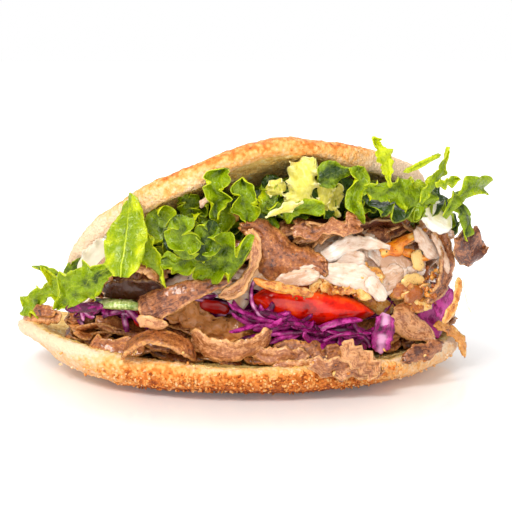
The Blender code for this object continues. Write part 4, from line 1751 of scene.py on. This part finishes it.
LEAVES = (
    Loose("leaf_tip_left", Leaf(
        L, 29, 15, 207, roll=-8, twist=20, sharp=0.9, rag=0.06, rag_size=2.4, ruffle=38,
        ruffle_size=8, inward=10, tone=0.3,
        outline=(
            (0, 0.5, 0.4), (0.05, 0.7, 0.9), (0.1, 0.5, 1.8), (0.15, 0.5, 1.0), (0.22, 1.2, 0.5),
            (0.28, 0.4, 0.5), (0.4, 0.3, 0.4), (0.5, 0.5, 0.7), (0.6, 0.7, 0.5), (0.68, 1.6, 0.4),
            (0.74, 0.7, 0.4), (0.85, 0.9, 0.5), (0.93, 0.8, 0.6), (1, 0.5, 0.0),
        ),
    ), (2.0, 0.0, -1.5)),
    Loose("leaf_sprawl", Leaf(
        L, 37, 22, 207, roll=-6, cup=-30, sharp=0.8, rag=0.04, rag_size=2.6, ruffle=40,
        ruffle_size=13, crimp=25, rib=0.5, tone=0.0,
        outline=(
            (0, 0.1, 0.25), (0.15, 0.12, 0.5), (0.27, 0.2, 0.58), (0.33, 0.5, 0.55),
            (0.4, 0.62, 1.0), (0.48, 0.67, 0.75), (0.55, 0.55, 0.8), (0.68, 0.5, 1.0),
            (0.76, 0.5, 0.8), (0.81, 0.48, 0.3), (0.95, 0.41, 0.0), (1, 0.35, -0.2),
        ),
    )),
    Loose("leaf_spear", Leaf(
        L, 39, 19, 97, lean=-36, curl=-20, sweep=20, sharp=0.3, rag=0.015, ruffle=20, crimp=3,
        inward=0, folds=1.2, rib=0.9, tone=0.4,
        outline=(
            (0, 0.35, 0.5), (0.13, 0.85, 0.85), (0.28, 0.95, 1.0), (0.41, 1.0, 1.0),
            (0.52, 0.98, 0.95), (0.58, 0.80, 0.86), (0.66, 0.72, 0.76), (0.75, 0.66, 0.68),
            (0.84, 0.58, 0.58), (0.92, 0.46, 0.46), (0.97, 0.32, 0.32), (1, 0.18, 0.18),
        ),
    ), (1.1, 0.0, 0.0)),
    Loose("leaf_crisp", Leaf(
        L, 22, 20, -20, roll=20, ruffle=90, ruffle_size=13, inward=60, crimp=20,
        outline=(
            (0, 0.2, 0.15), (0.12, 0.35, 0.4), (0.2, 0.4, 0.8), (0.3, 0.6, 1.1), (0.4, 1.0, 0.6),
            (0.5, 1.1, 0.6), (0.7, 1.0, 0.3), (0.8, 1.2, 0.3), (0.9, 1.2, 0.3), (1, 0.7, 0.1),
        ),
    )),
    Loose("leaf_lobe_left", Leaf(
        L, 22, 18, 82, cup=90, sharp=0.2, ruffle=50, inward=55,
        outline=(
            (0, 0.3, 0.3), (0.2, 0.5, 0.35), (0.35, 0.6, 0.5), (0.42, 0.72, 1.0), (0.5, 0.85, 0.8),
            (0.58, 0.98, 0.5), (0.7, 1.06, 0.48), (0.8, 1.05, 0.48), (0.9, 0.85, 0.52),
            (0.97, 0.5, 0.55), (1, 0.2, 0.5),
        ),
    ), (0.0, -3.0, 0.0)),
    Loose("leaf_lobe_middle", Leaf(
        L, 19, 19, 98, cup=90, sharp=0.2, ruffle=50, inward=55, tone=-0.1,
        outline=(
            (0, 0.3, 0.3), (0.2, 0.4, 0.7), (0.3, 0.8, 0.9), (0.4, 1.05, 1.1), (0.5, 0.75, 0.85),
            (0.58, 0.6, 0.65), (0.7, 0.85, 0.6), (0.8, 0.65, 0.6), (0.9, 0.45, 0.45),
            (0.97, 0.2, 0.2), (1, 0.05, 0.05),
        ),
    )),
    Loose("leaf_heart", Leaf(
        Y, 25, 21, 64, roll=-10, cup=-50, sharp=0.8, ruffle=95, ruffle_size=7, folds=2.4, tone=0.6,
        outline=(
            (0, 0.2, 0.2), (0.1, 0.4, 0.4), (0.2, 0.6, 0.75), (0.3, 0.5, 1.0), (0.45, 0.65, 0.95),
            (0.55, 0.85, 0.9), (0.65, 0.8, 0.8), (0.73, 1.1, 0.68), (0.8, 0.8, 0.55),
            (0.9, 0.35, 0.4), (1, 0.05, 0.15),
        ),
    )),
    Loose("leaf_under_heart", Leaf(
        L, 24, 10, 4, roll=20, cup=-60, ruffle=50,
        outline=(
            (0, 0.2, 0.1), (0.1, 0.5, 0.2), (0.2, 0.8, 0.2), (0.3, 0.4, 1.3), (0.4, 0.6, 0.6),
            (0.55, 0.9, 0.6), (0.75, 0.9, 0.7), (0.9, 0.6, 0.7), (1, 0.3, 0.5),
        ),
    )),
    Loose("leaf_dark_lobe", Leaf(
        L, 16, 13, 18, cup=-40, tone=-0.6, sharp=0.2, ruffle=40,
        outline=(
            (0, 0.2, 0.4), (0.15, 0.9, 0.7), (0.3, 1.15, 0.8), (0.5, 1.0, 0.6), (0.65, 0.8, 0.4),
            (0.8, 0.4, 0.35), (1, 0.1, 0.2),
        ),
    )),
    Loose("leaf_curtain", Leaf(
        L, 25, 11, -76, cup=60, ruffle=60,
        outline=(
            (0, 0.8, 0.1), (0.1, 1.2, 0.05), (0.2, 1.4, 0.1), (0.3, 1.35, 0.3), (0.4, 1.1, 0.6),
            (0.5, 0.6, 0.95), (0.6, 0.4, 1.15), (0.7, 0.3, 1.0), (0.8, 0.3, 0.6), (0.9, 0.25, 0.3),
            (1, 0.12, 0.0),
        ),
    )),
    Loose("leaf_jagged", Leaf(
        L, 36, 19, -12, roll=-8, cup=-30, sharp=0.9, ruffle=60, ruffle_size=9, **JAGGED,
        outline=(
            (0, 0.05, 0.4), (0.1, 0.25, 0.55), (0.2, 0.35, 0.55), (0.3, 0.35, 0.5), (0.4, 0.5, 0.5),
            (0.47, 0.8, 0.55), (0.55, 0.6, 0.8), (0.65, 0.85, 1.15), (0.69, 0.7, 1.25),
            (0.75, 0.85, 0.9), (0.8, 0.6, 0.7), (0.88, 0.8, 0.45), (1, 0.3, 0.1),
        ),
    )),
    Loose("leaf_feather", Leaf(
        L, 23, 9, 108, sharp=1.0, ruffle=50, ruffle_size=6, tone=1.1, **JAGGED,
        outline=(
            (0, 0.2, 0.1), (0.15, 0.35, 0.2), (0.3, 0.5, 0.6), (0.45, 0.6, 0.95), (0.53, 0.75, 0.9),
            (0.58, 1.1, 0.95), (0.64, 0.7, 1.25), (0.7, 0.65, 0.6), (0.8, 0.6, 0.35),
            (0.88, 0.65, 0.15), (0.93, 0.6, 0.45), (0.96, 0.6, 0.05), (1, 0.4, -0.2),
        ),
    )),
    Loose("leaf_upright_right", Leaf(
        L, 28, 9, 56, sharp=1.0, ruffle=40, ruffle_size=7, tone=0.3, **JAGGED,
        outline=(
            (0, 0.2, 0.2), (0.2, 0.6, 0.4), (0.4, 0.6, 0.7), (0.55, 0.25, 0.9), (0.63, 0.1, 1.15),
            (0.75, 0.1, 0.7), (0.9, 0.1, 0.25), (1, 0.0, 0.0),
        ),
    )),
    Loose("leaf_behind_onion", Leaf(
        L, 22, 10, -62, cup=-40, ruffle=40, tone=-0.5,
        outline=(
            (0, 0.3, 1.3), (0.2, 0.3, 1.2), (0.4, 0.35, 1.0), (0.6, 0.5, 0.7), (0.75, 0.7, 0.8),
            (0.85, 0.2, 1.2), (1, 0.0, 1.2),
        ),
    )),
    Loose("leaf_tip_right", Leaf(
        L, 32, 11, 24, sweep=-62, curl=-20, sharp=0.7, ruffle=35, tone=0.1,
        outline=(
            (0, 0.35, 0.35), (0.15, 0.4, 0.4), (0.3, 1.2, 0.4), (0.36, 0.4, 0.4), (0.5, 0.6, 0.5),
            (0.58, 1.2, 0.5), (0.7, 0.9, 0.55), (0.85, 0.8, 0.7), (0.95, 0.7, 0.9), (1, 0.5, 0.7),
        ),
    )),
    Loose("leaf_apron", Leaf(
        L, 36, 20, -14, roll=14, ruffle=90, ruffle_size=12, inward=60, crimp=20, folds=2.0,
        tone=-0.2,
        outline=(
            (0, -0.3, 0.7), (0.05, 0.0, 0.9), (0.14, -0.1, 0.95), (0.22, 0.3, 1.0),
            (0.3, 0.7, 0.85), (0.36, 0.9, 0.8), (0.44, 0.6, 0.95), (0.52, 0.7, 1.0),
            (0.6, 1.1, 0.95), (0.66, 1.4, 0.85), (0.72, 1.6, 0.8), (0.8, 1.7, 0.9),
            (0.87, 1.75, 1.0), (0.92, 1.7, 0.3), (1, 1.6, -1.0),
        ),
    )),
)
FLAT = {"thick": 1.1, "folds": 0.9, "rag_size": 2.5, "pale": 0.12, "cell": 0.6}
W, V, C, O = Finishes.SLAW, Finishes.PURPLE, Finishes.CARROT, Finishes.ONION
SHREDS = (
    Loose("purple_band", Shred(V, 17, 10, 80, cup=35, thick=1.5)),
    Loose("purple_chunk", Shred(
        V, 17, 13, -62, cup=-30, thick=1.8, tone=0.5, folds=0.9, pale=0.15,
        outline=(
            (0, 0.5, 0.6), (0.2, 0.9, 0.9), (0.6, 1.0, 1.0), (0.85, 0.9, 0.7), (1, 0.5, 0.4),
        ),
    )),
    Loose("purple_lobe", Shred(
        V, 14, 12, 60, cup=-30, thick=1.5, tone=0.4, pale=0.2, folds=0.9,
        outline=(
            (0, 0.3, 0.4), (0.2, 0.8, 0.9), (0.6, 1.0, 1.0), (0.85, 0.8, 0.8), (1, 0.2, 0.3),
        ),
    ), (3.5, 0.0, 0.0)),
    Loose("onion_ring", Shred(
        V, 25, 2.4, -72, sweep=115, thick=1.6, rag=0.05, folds=0.1, cell=0.5,
    ), (-1.7, 0.0, 0.0)),
    Loose("onion_piece", Shred(
        O, 20, 14, -35, roll=-15, cup=-40, thick=1.6, rag=0.05,
        outline=(
            (0, 0.2, 0.3), (0.15, 0.7, 0.8), (0.5, 1.0, 1.0), (0.8, 1.0, 0.8), (0.95, 0.6, 0.4),
            (1, 0.2, 0.1),
        ),
    ), (-2.0, 0.0, 1.0)),
    Loose("carrot_upper", Shred(
        C, 25, 7, 24, roll=-15, cup=-60, thick=1.6, rag=0.05, folds=1.0, sharp=1.0,
        outline=(
            (0, 0.8, 0.3), (0.15, 1.1, 0.5), (0.3, 0.9, 1.3), (0.38, 0.8, 1.1), (0.45, 0.8, 0.3),
            (0.6, 0.7, 0.3), (0.8, 0.5, 0.3), (1, 0.3, 0.3),
        ),
    )),
    Loose("carrot_lower", Shred(
        C, 24, 3.4, -12, roll=-30, sweep=45, thick=1.4, foot=0.9, tip=0.2, rag=0.08,
    )),
    Loose("strand_right", Shred(
        F, 30, 5, -38, sweep=-75, thick=1.4, tip=0.5, rag=0.3, pale=0.1, folds=1.2,
    )),
)
CUTS = (
    Wedge("tomato_wedge", Finishes.TOMATO, swell=1.1, crease=0.6),
    Wedge("tomato_piece", Finishes.TOMATO),
    Cut("cucumber_slice", Finishes.CUCUMBER),
    Cut("cucumber_end", Finishes.CUCUMBER),
)
SCRAPS = (
    Scrap("leaf_pale_left", -68.9, 61.8, Leaf(
        O, 24, 11, 38, ruffle=30, tone=-1.2, folds=1.6, cup=-50,
    ), 2.5),
    Scrap("leaf_pale_far_left", -79.0, 55.5, Leaf(
        L, 18, 8, 20, ruffle=50, tone=-0.8, folds=1.6,
    ), 2.5),
    Scrap("leaf_curl", -27.6, 82.7, Leaf(L, 13, 12, 100, cup=80, ruffle=110, ruffle_size=8)),
    Scrap("leaf_ribbon", -12.6, 74.4, Leaf(
        L, 23, 12, -102, cup=120, ruffle=50, inward=40, tone=0.1, foot=0.5, tip=0.3,
    ), 6.0),
    # A leaf toned near black-green: a dark sheet standing for the shade behind the crisp cluster,
    # painted shade.
    Scrap("leaf_crisp_behind", -24.0, 66.0, Leaf(
        L, 30, 20, -10, ruffle=60, ruffle_size=9, tone=-2.6, cell=0.9,
    ), -14.0),
    Scrap("leaf_crisp_middle", -29.0, 68.5, Leaf(
        L, 19, 15, -75, cup=60, ruffle=90, ruffle_size=11, inward=65, tone=-0.3,
    ), 4.0),
    Scrap("leaf_crisp_inner", -19.5, 67.0, Leaf(
        L, 18, 13, -110, cup=60, ruffle=90, ruffle_size=10, inward=65, tone=-0.8,
    ), 3.0),
    Scrap("leaf_crisp_right", -23.8, 71.8, Leaf(
        L, 17, 13, -55, roll=-25, cup=60, ruffle=90, ruffle_size=12, inward=60, tone=-0.2,
    ), 6.0),
    Scrap("leaf_crisp_left", -36.0, 71.5, Leaf(
        L, 24, 19, 140, roll=20, cup=60, ruffle=90, ruffle_size=14, inward=60, tone=-0.1,
    ), 6.0),
    Scrap("leaf_crisp_low_left", -35.0, 60.0, Leaf(
        L, 18, 9, -30, roll=30, cup=60, ruffle=90, ruffle_size=9,
    ), 6.0),
    Scrap("leaf_tail", -43.5, 59.5, Leaf(
        L, 28, 10, -66, cup=80, ruffle=30, foot=0.9, tip=0.15, tone=0.5,
    ), depth=-54.0),
    Scrap("leaf_tip_strip", -95.0, 54.0, Leaf(
        L, 17, 3, 172, curl=20, ruffle=40, ruffle_size=6, tone=-0.2, foot=0.9, tip=0.1,
    ), depth=-6.0),
    # These two leaves are toned dark as painted shade inside the lid.
    Scrap("leaf_inside_right", 62.0, 84.0, Leaf(
        L, 32, 20, -10, roll=-62, tone=-1.4, cell=0.9,
    ), depth=-42.0),
    Scrap("leaf_inside_far_right", 78.0, 86.0, Leaf(
        L, 26, 20, -10, roll=-66, tone=-1.4, cell=0.9,
    ), depth=-28.0),
    Scrap("leaf_beside_heart", 7.9, 85.6, Leaf(L, 13, 10, 60, ruffle=60, ruffle_size=8)),
    Scrap("leaf_heart_left", 10.2, 90.7, Leaf(Y, 9, 8, 20, ruffle=90, ruffle_size=7)),
    Scrap("leaf_heart_right", 31.7, 89.3, Leaf(Y, 12, 8, 75, ruffle=80, ruffle_size=7), 2.0),
    Scrap("leaf_heart_far", 36.4, 87.0, Leaf(Y, 12, 7, 70, ruffle=80, ruffle_size=7), 2.0),
    Scrap("leaf_heart_low", 32.1, 82.2, Leaf(
        Y, 15, 5, -30, ruffle=60, ruffle_size=7, tone=-0.4,
    ), 3.0),
    Scrap("leaf_spray", 84.1, 92.7, Leaf(
        L, 14, 7, 8, sharp=1.0, ruffle=30, ruffle_size=6, tone=0.4,
        outline=(
            (0, 0.3, 0.3), (0.2, 0.6, 0.3), (0.3, 0.3, 0.9), (0.4, 0.7, 0.3), (0.55, 0.3, 0.35),
            (0.65, 0.6, 0.9), (0.8, 0.5, 0.3), (1, 0.1, 0.1),
        ),
    ), depth=-44.0),
    Scrap("leaf_stem", 72.7, 101.1, Leaf(
        L, 19, 2.2, 21, cup=60, ruffle=5, thick=1.2, tone=0.5, foot=0.9, tip=0.7,
    ), depth=-46.0),
    Scrap("cabbage_bit", -20.3, 84.0, Shred(
        W, 6, 5, 60, sharp=1.0, tone=-0.4, **FLAT,
        outline=(
            (0, 0.1, 0.2), (0.4, 0.9, 0.4), (0.8, 0.4, 0.9), (1, 0.1, 0.2),
        ),
    ), 1.0),
    Scrap("carrot_bit", -8.7, 78.7, Shred(C, 6, 4, -20, thick=1.6), 3.0),
    Scrap("cabbage_strip_heart", 13.6, 80.9, Leaf(
        Y, 17, 6, 22, roll=35, cup=-50, sharp=1.0, tone=0.6, ruffle=70, ruffle_size=7,
        outline=(
            (0, 0.1, 0.1), (0.2, 0.6, 0.5), (0.6, 1.0, 0.9), (0.85, 0.7, 0.8), (1, 0.1, 0.2),
        ),
    ), 3.0),
    Scrap("cabbage_strip_tongue", -31.1, 50.5, Shred(W, 15, 5, 22, cup=-40, **FLAT), 1.5),
    Scrap("sprout_hair", 95.0, 45.0, Shred(
        O, 22, 0.8, -75, sweep=50, thick=0.6, cell=0.5,
    ), depth=-34.0),
    Scrap("cabbage_under_hook", -6.2, 41.7, Shred(W, 9, 9, 70, thick=1.6), 2.0),
    Scrap("cabbage_by_saddle", -0.1, 52.6, Shred(W, 20, 7, 55, cup=-50, thick=1.8, tone=-0.6), 1.0),
    Scrap("tomato_bit", -16.6, 38.3, Shred(
        Finishes.TOMATO, 13, 5, -12, thick=1.4, tone=-1.0, pale=0.1,
    ), 0.0),
    Scrap("purple_strand_left", -50.4, 34.8, Shred(V, 21, 2.6, -40, sweep=30, thick=1.6), 2.0),
    Scrap("purple_strand_back", -57.5, 33.0, Shred(V, 17, 2.4, -75, sweep=-30, thick=1.6), 2.0),
    Scrap("purple_bunch_left", -62.5, 30.9, Shred(
        V, 14, 6, 10, cup=60, folds=1.5, thick=1.2, tone=-0.3, pale=0.2,
    ), 2.0),
    Scrap("purple_strip_left", -72.8, 38.3, Shred(
        V, 19, 4, 8, thick=1.2, folds=1.2, tone=-0.6, pale=0.1,
    ), 1.0),
    # Meat toned very dark deep in the arch's hollow: painted shade.
    Scrap("meat_in_arch", -51.5, 45.5, Sheet(
        M, 28, 11, 4, roll=20, tone=-2.4, **BEND,
    ), depth=-41.0),
    Scrap("meat_scrap_left", -71.0, 32.2, Sheet(
        P, 18, 3.6, 50, sweep=-40, thick=1.6, tone=0.4, **BEND,
    ), 2.0),
    Scrap("meat_scrap_far_left", -79.0, 33.0, Sheet(P, 14, 8, 5, cup=-60, **BEND), 1.0),
    Scrap("meat_scrap_pink", -42.5, 32.2, Sheet(P, 13, 5, -10, tone=0.4, **BEND), 1.0),
    Scrap("meat_scrap_tip", -96.0, 35.0, Sheet(M, 12, 6, 0, cup=-60, **BEND), 1.0),
    Scrap("meat_scrap_middle", 12.0, 18.0, Sheet(P, 24, 7, -4, rag=0.3, folds=1.5), 1.5),
    Scrap("meat_scrap_rim", 22.0, 13.5, Sheet(
        P, 26, 5, 2, rag=0.3, folds=1.5, thick=1.1, tone=0.2,
    ), 0.5),
    Scrap("meat_scrap_rim_right", 46.0, 16.0, Sheet(
        P, 22, 12, -40, rag=0.06, folds=2.2, grit=0.08, sharp=1.0, thick=1.0, tone=0.3,
        outline=TORN,
    ), 0.5),
    Scrap("cabbage_flake_top", 45.0, 64.5, Shred(
        W, 32, 10, 4, cup=-40, rag=0.1, **FLAT,
        outline=(
            (0, 0.1, 0.8), (0.1, 0.2, 1.0), (0.25, 0.8, 0.9), (0.4, 1.1, 0.4), (0.55, 1.0, 0.2),
            (0.7, 0.8, 0.3), (0.85, 0.4, 0.4), (1, -0.2, 0.5),
        ),
    ), 7.0),
    Scrap("cabbage_square_left", 33.5, 57.6, Shred(W, 11, 8, 6, cup=20, tone=-0.5, **FLAT), 4.0),
    Scrap("cabbage_square_middle", 43.0, 59.0, Shred(
        W, 13, 10, -12, cup=20, tone=-0.2, **FLAT,
    ), 5.0),
    Scrap("cabbage_square_right", 52.0, 57.0, Shred(
        W, 12, 11, -80, cup=20, tone=-0.4, **FLAT,
    ), 4.5),
    Scrap("cabbage_flake_low", 38.0, 51.0, Shred(
        W, 36, 10, -10, cup=-40, rag=0.1, **FLAT,
        outline=(
            (0, 0.3, 0.1), (0.15, 0.6, 0.2), (0.3, 0.9, 0.5), (0.45, 1.1, 0.8), (0.6, 1.2, 1.0),
            (0.8, 1.2, 1.1), (0.9, 0.8, 1.2), (1, 0.3, 0.7),
        ),
    ), 3.0),
    Scrap("cabbage_flake_end", 54.0, 46.5, Shred(W, 13, 7, -50, cup=-40, **FLAT), 3.0),
    Scrap("cabbage_by_tomato", 19.0, 51.0, Shred(W, 20, 7, 12, tone=-0.4, **FLAT), 1.0),
    Scrap("cabbage_pale_left", 8.0, 47.0, Shred(W, 15, 7, 10, cup=-50, tone=-0.2, **FLAT), 1.0),
    Scrap("cabbage_beige_upper", 62.5, 57.0, Shred(
        W, 18, 12, -32, cup=-30, tone=-0.7, **FLAT,
        outline=(
            (0, 0.2, 0.3), (0.2, 0.9, 0.8), (0.5, 1.1, 1.0), (0.8, 0.8, 1.1), (1, 0.2, 0.8),
        ),
    ), 2.5),
    Scrap("cabbage_beige_lower", 60.0, 50.5, Shred(W, 18, 11, 28, cup=-30, tone=-0.5, **FLAT), 2.5),
    Scrap("cabbage_tan_low", 66.8, 41.8, Shred(
        F, 15, 10, -60, cup=-50, tone=0.6, **FLAT,
        outline=(
            (0, 0.4, 0.5), (0.3, 1.0, 1.0), (0.6, 0.9, 0.9), (1, 0.2, 0.4),
        ),
    ), 2.5),
    Scrap("cabbage_fold_right", 78.0, 67.0, Shred(
        W, 19, 9, -48, cup=-60, tone=-0.2, **FLAT,
        outline=(
            (0, 0.2, 0.5), (0.2, 0.4, 0.9), (0.5, 0.5, 1.0), (0.75, 1.0, 1.1), (1, 0.3, 0.4),
        ),
    ), 3.5),
    Scrap("cabbage_edge_right", 84.0, 62.0, Shred(
        W, 22, 3.4, -62, sweep=-25, tone=-0.6, **FLAT,
    ), 3.5),
    Scrap("fried_flake_left", 50.3, 42.3, Sheet(
        F, 11, 8, -30, cup=-50, thick=1.4, tone=-0.4, **BEND,
    ), 2.5),
    Scrap("fried_flake_right", 58.0, 38.0, Sheet(
        F, 12, 7, -22, cup=-50, thick=1.8, tone=0.2, **BEND,
    ), 3.0),
    Scrap("fried_flake_top", 73.8, 59.1, Sheet(
        F, 9, 6, -70, cup=-50, thick=1.4, tone=1.2, **BEND,
    ), 4.0),
    Scrap("fried_chunk", 75.0, 49.0, Sheet(
        F, 15, 12, 50, cup=-90, curl=-60, thick=3.0, tone=-0.8, folds=2.2, rag=0.2,
    ), 1.5),
    Scrap("fried_chunk_low", 72.0, 43.5, Sheet(
        F, 9, 7, 10, cup=-70, thick=2.4, tone=-1.2, folds=1.6, rag=0.2,
    ), 1.0),
    Scrap("fried_strip", 15.0, 46.6, Sheet(
        F, 22, 3.6, -14, cup=-50, thick=1.6, tone=-0.4, **BEND,
    ), 1.5),
    Scrap("carrot_strip_top", 70.8, 62.0, Shred(C, 10, 3.4, -15, thick=1.6), 4.0),
    Scrap("carrot_strip_right", 77.3, 60.5, Shred(C, 11, 2.6, 5, sweep=30, thick=1.4), 4.0),
    Scrap("fried_strand_right", 91.0, 45.2, Sheet(
        F, 12, 3, 75, sweep=30, thick=1.4, tone=-0.3, **BEND,
    ), depth=-32.0),
    Scrap("fried_strand_low", 87.6, 36.0, Sheet(
        F, 12, 4, 50, sweep=30, thick=1.4, tone=-0.3, **BEND,
    ), depth=-34.0),
)
FRONT = Vector((0.0, -1.0, 0.15))
UNDER = {"rag": (0.1, 0.3), "curl": (-40, 40), "cup": (-50, 30), "cell": 0.8, "tone": (-0.8, 0.8)}
PALER = {"tone": (-0.8, 0.4), "pale": 0.12, "thick": 1.1}
TANGLED = {
    "sweep": (-170, 170), "curl": (-90, 90), "cell": 0.7, "foot": 0.9, "tip": 0.8, "pale": 0.12,
}
SMALL = {
    "length": (10, 18), "width": (5, 8), "roll": (60, 110), "heading": 50, "proud": 0.6,
    "shrink": 1.6, "lumps": 0.5, "core_cell": 1.2,
}
HEAPS = (
    Heap("meat_bed", M, 80, seed=3),
    Heap("meat_bed_upper", P, 70, seed=4),
    Heap("slaw_bed", W, 110, Shred, (8, 22), (2.5, 6.0), (-30, 90), seed=5),
    Heap("purple_cabbage_bed", V, 120, Shred, (12, 30), (1.6, 4.0), (-30, 90), seed=6),
    # The salad bed's leaves are toned dark, as painted shade among them behind the front leaves.
    Heap(
        "salad_bed", L, 64, Leaf, (13, 22), (8, 13), (10, 100), heading=70, seed=7, start=-46,
        lower=5.5, extra={"cell": 0.9, "ruffle": (50, 90), "tone": (-2.4, -0.6)},
    ),
    Heap(
        "slaw_middle", F, 22, toward=FRONT, seed=11, extra=UNDER,
        **SMALL | {"length": (6, 11), "width": (4, 6)},
    ),
    Heap("slaw_top", W, 20, Shred, toward=FRONT, seed=12, extra=UNDER | PALER, **SMALL),
    Heap("slaw_right", W, 18, Shred, toward=FRONT, seed=13, extra=UNDER | PALER, **SMALL),
    Heap("slaw_flake", F, 6, toward=FRONT, seed=14, extra=UNDER, **SMALL),
    Heap(
        "purple_strands", V, 40, Shred, (16, 34), (1.8, 3.0), (20, 120), 30, 2.0, seed=15,
        toward=FRONT, shrink=1.6, lumps=0.5, core_cell=1.2, extra=TANGLED,
    ),
)
CRUMBS = (
    Semolina("crust_grains", F, 2600, (-92, 96), (-2, 24), tone=(0.0, 1.1), node="bread"),
    Crumbs("fried_crumbs", F, 150, (16, 48), (42, 49), (0.5, 1.4), (-1.6, 0.4), finer=2),
    Crumbs(
        "fried_crumbs_right", F, 50, (68, 84), (38, 56), (0.6, 1.8), (-1.6, 0.8), finer=2, seed=6,
    ),
    Crumbs(
        "fried_crumbs_low", F, 60, (-60, 80), (10, 20), (0.5, 1.2), (-1.0, 0.8), finer=2, seed=7,
    ),
    Crumbs("pepper", Finishes.SPICE, 150, (-40, 90), (10, 70), (0.25, 0.5), seed=8),
)


def main() -> None:
    """Builds the sandwich from its bread outwards."""
    logging.basicConfig(level=logging.INFO, format="%(message)s")
    Studio().build()
    Bread().build()
    for heap in HEAPS:
        heap.build()
    for piece in LOOSE + LEAVES + SHREDS + CUTS:
        piece.build()
    front = Front()
    for scrap in SCRAPS:
        scrap.build(front)
    for crumbs in CRUMBS:
        crumbs.build()


if __name__ == "__main__":
    main()
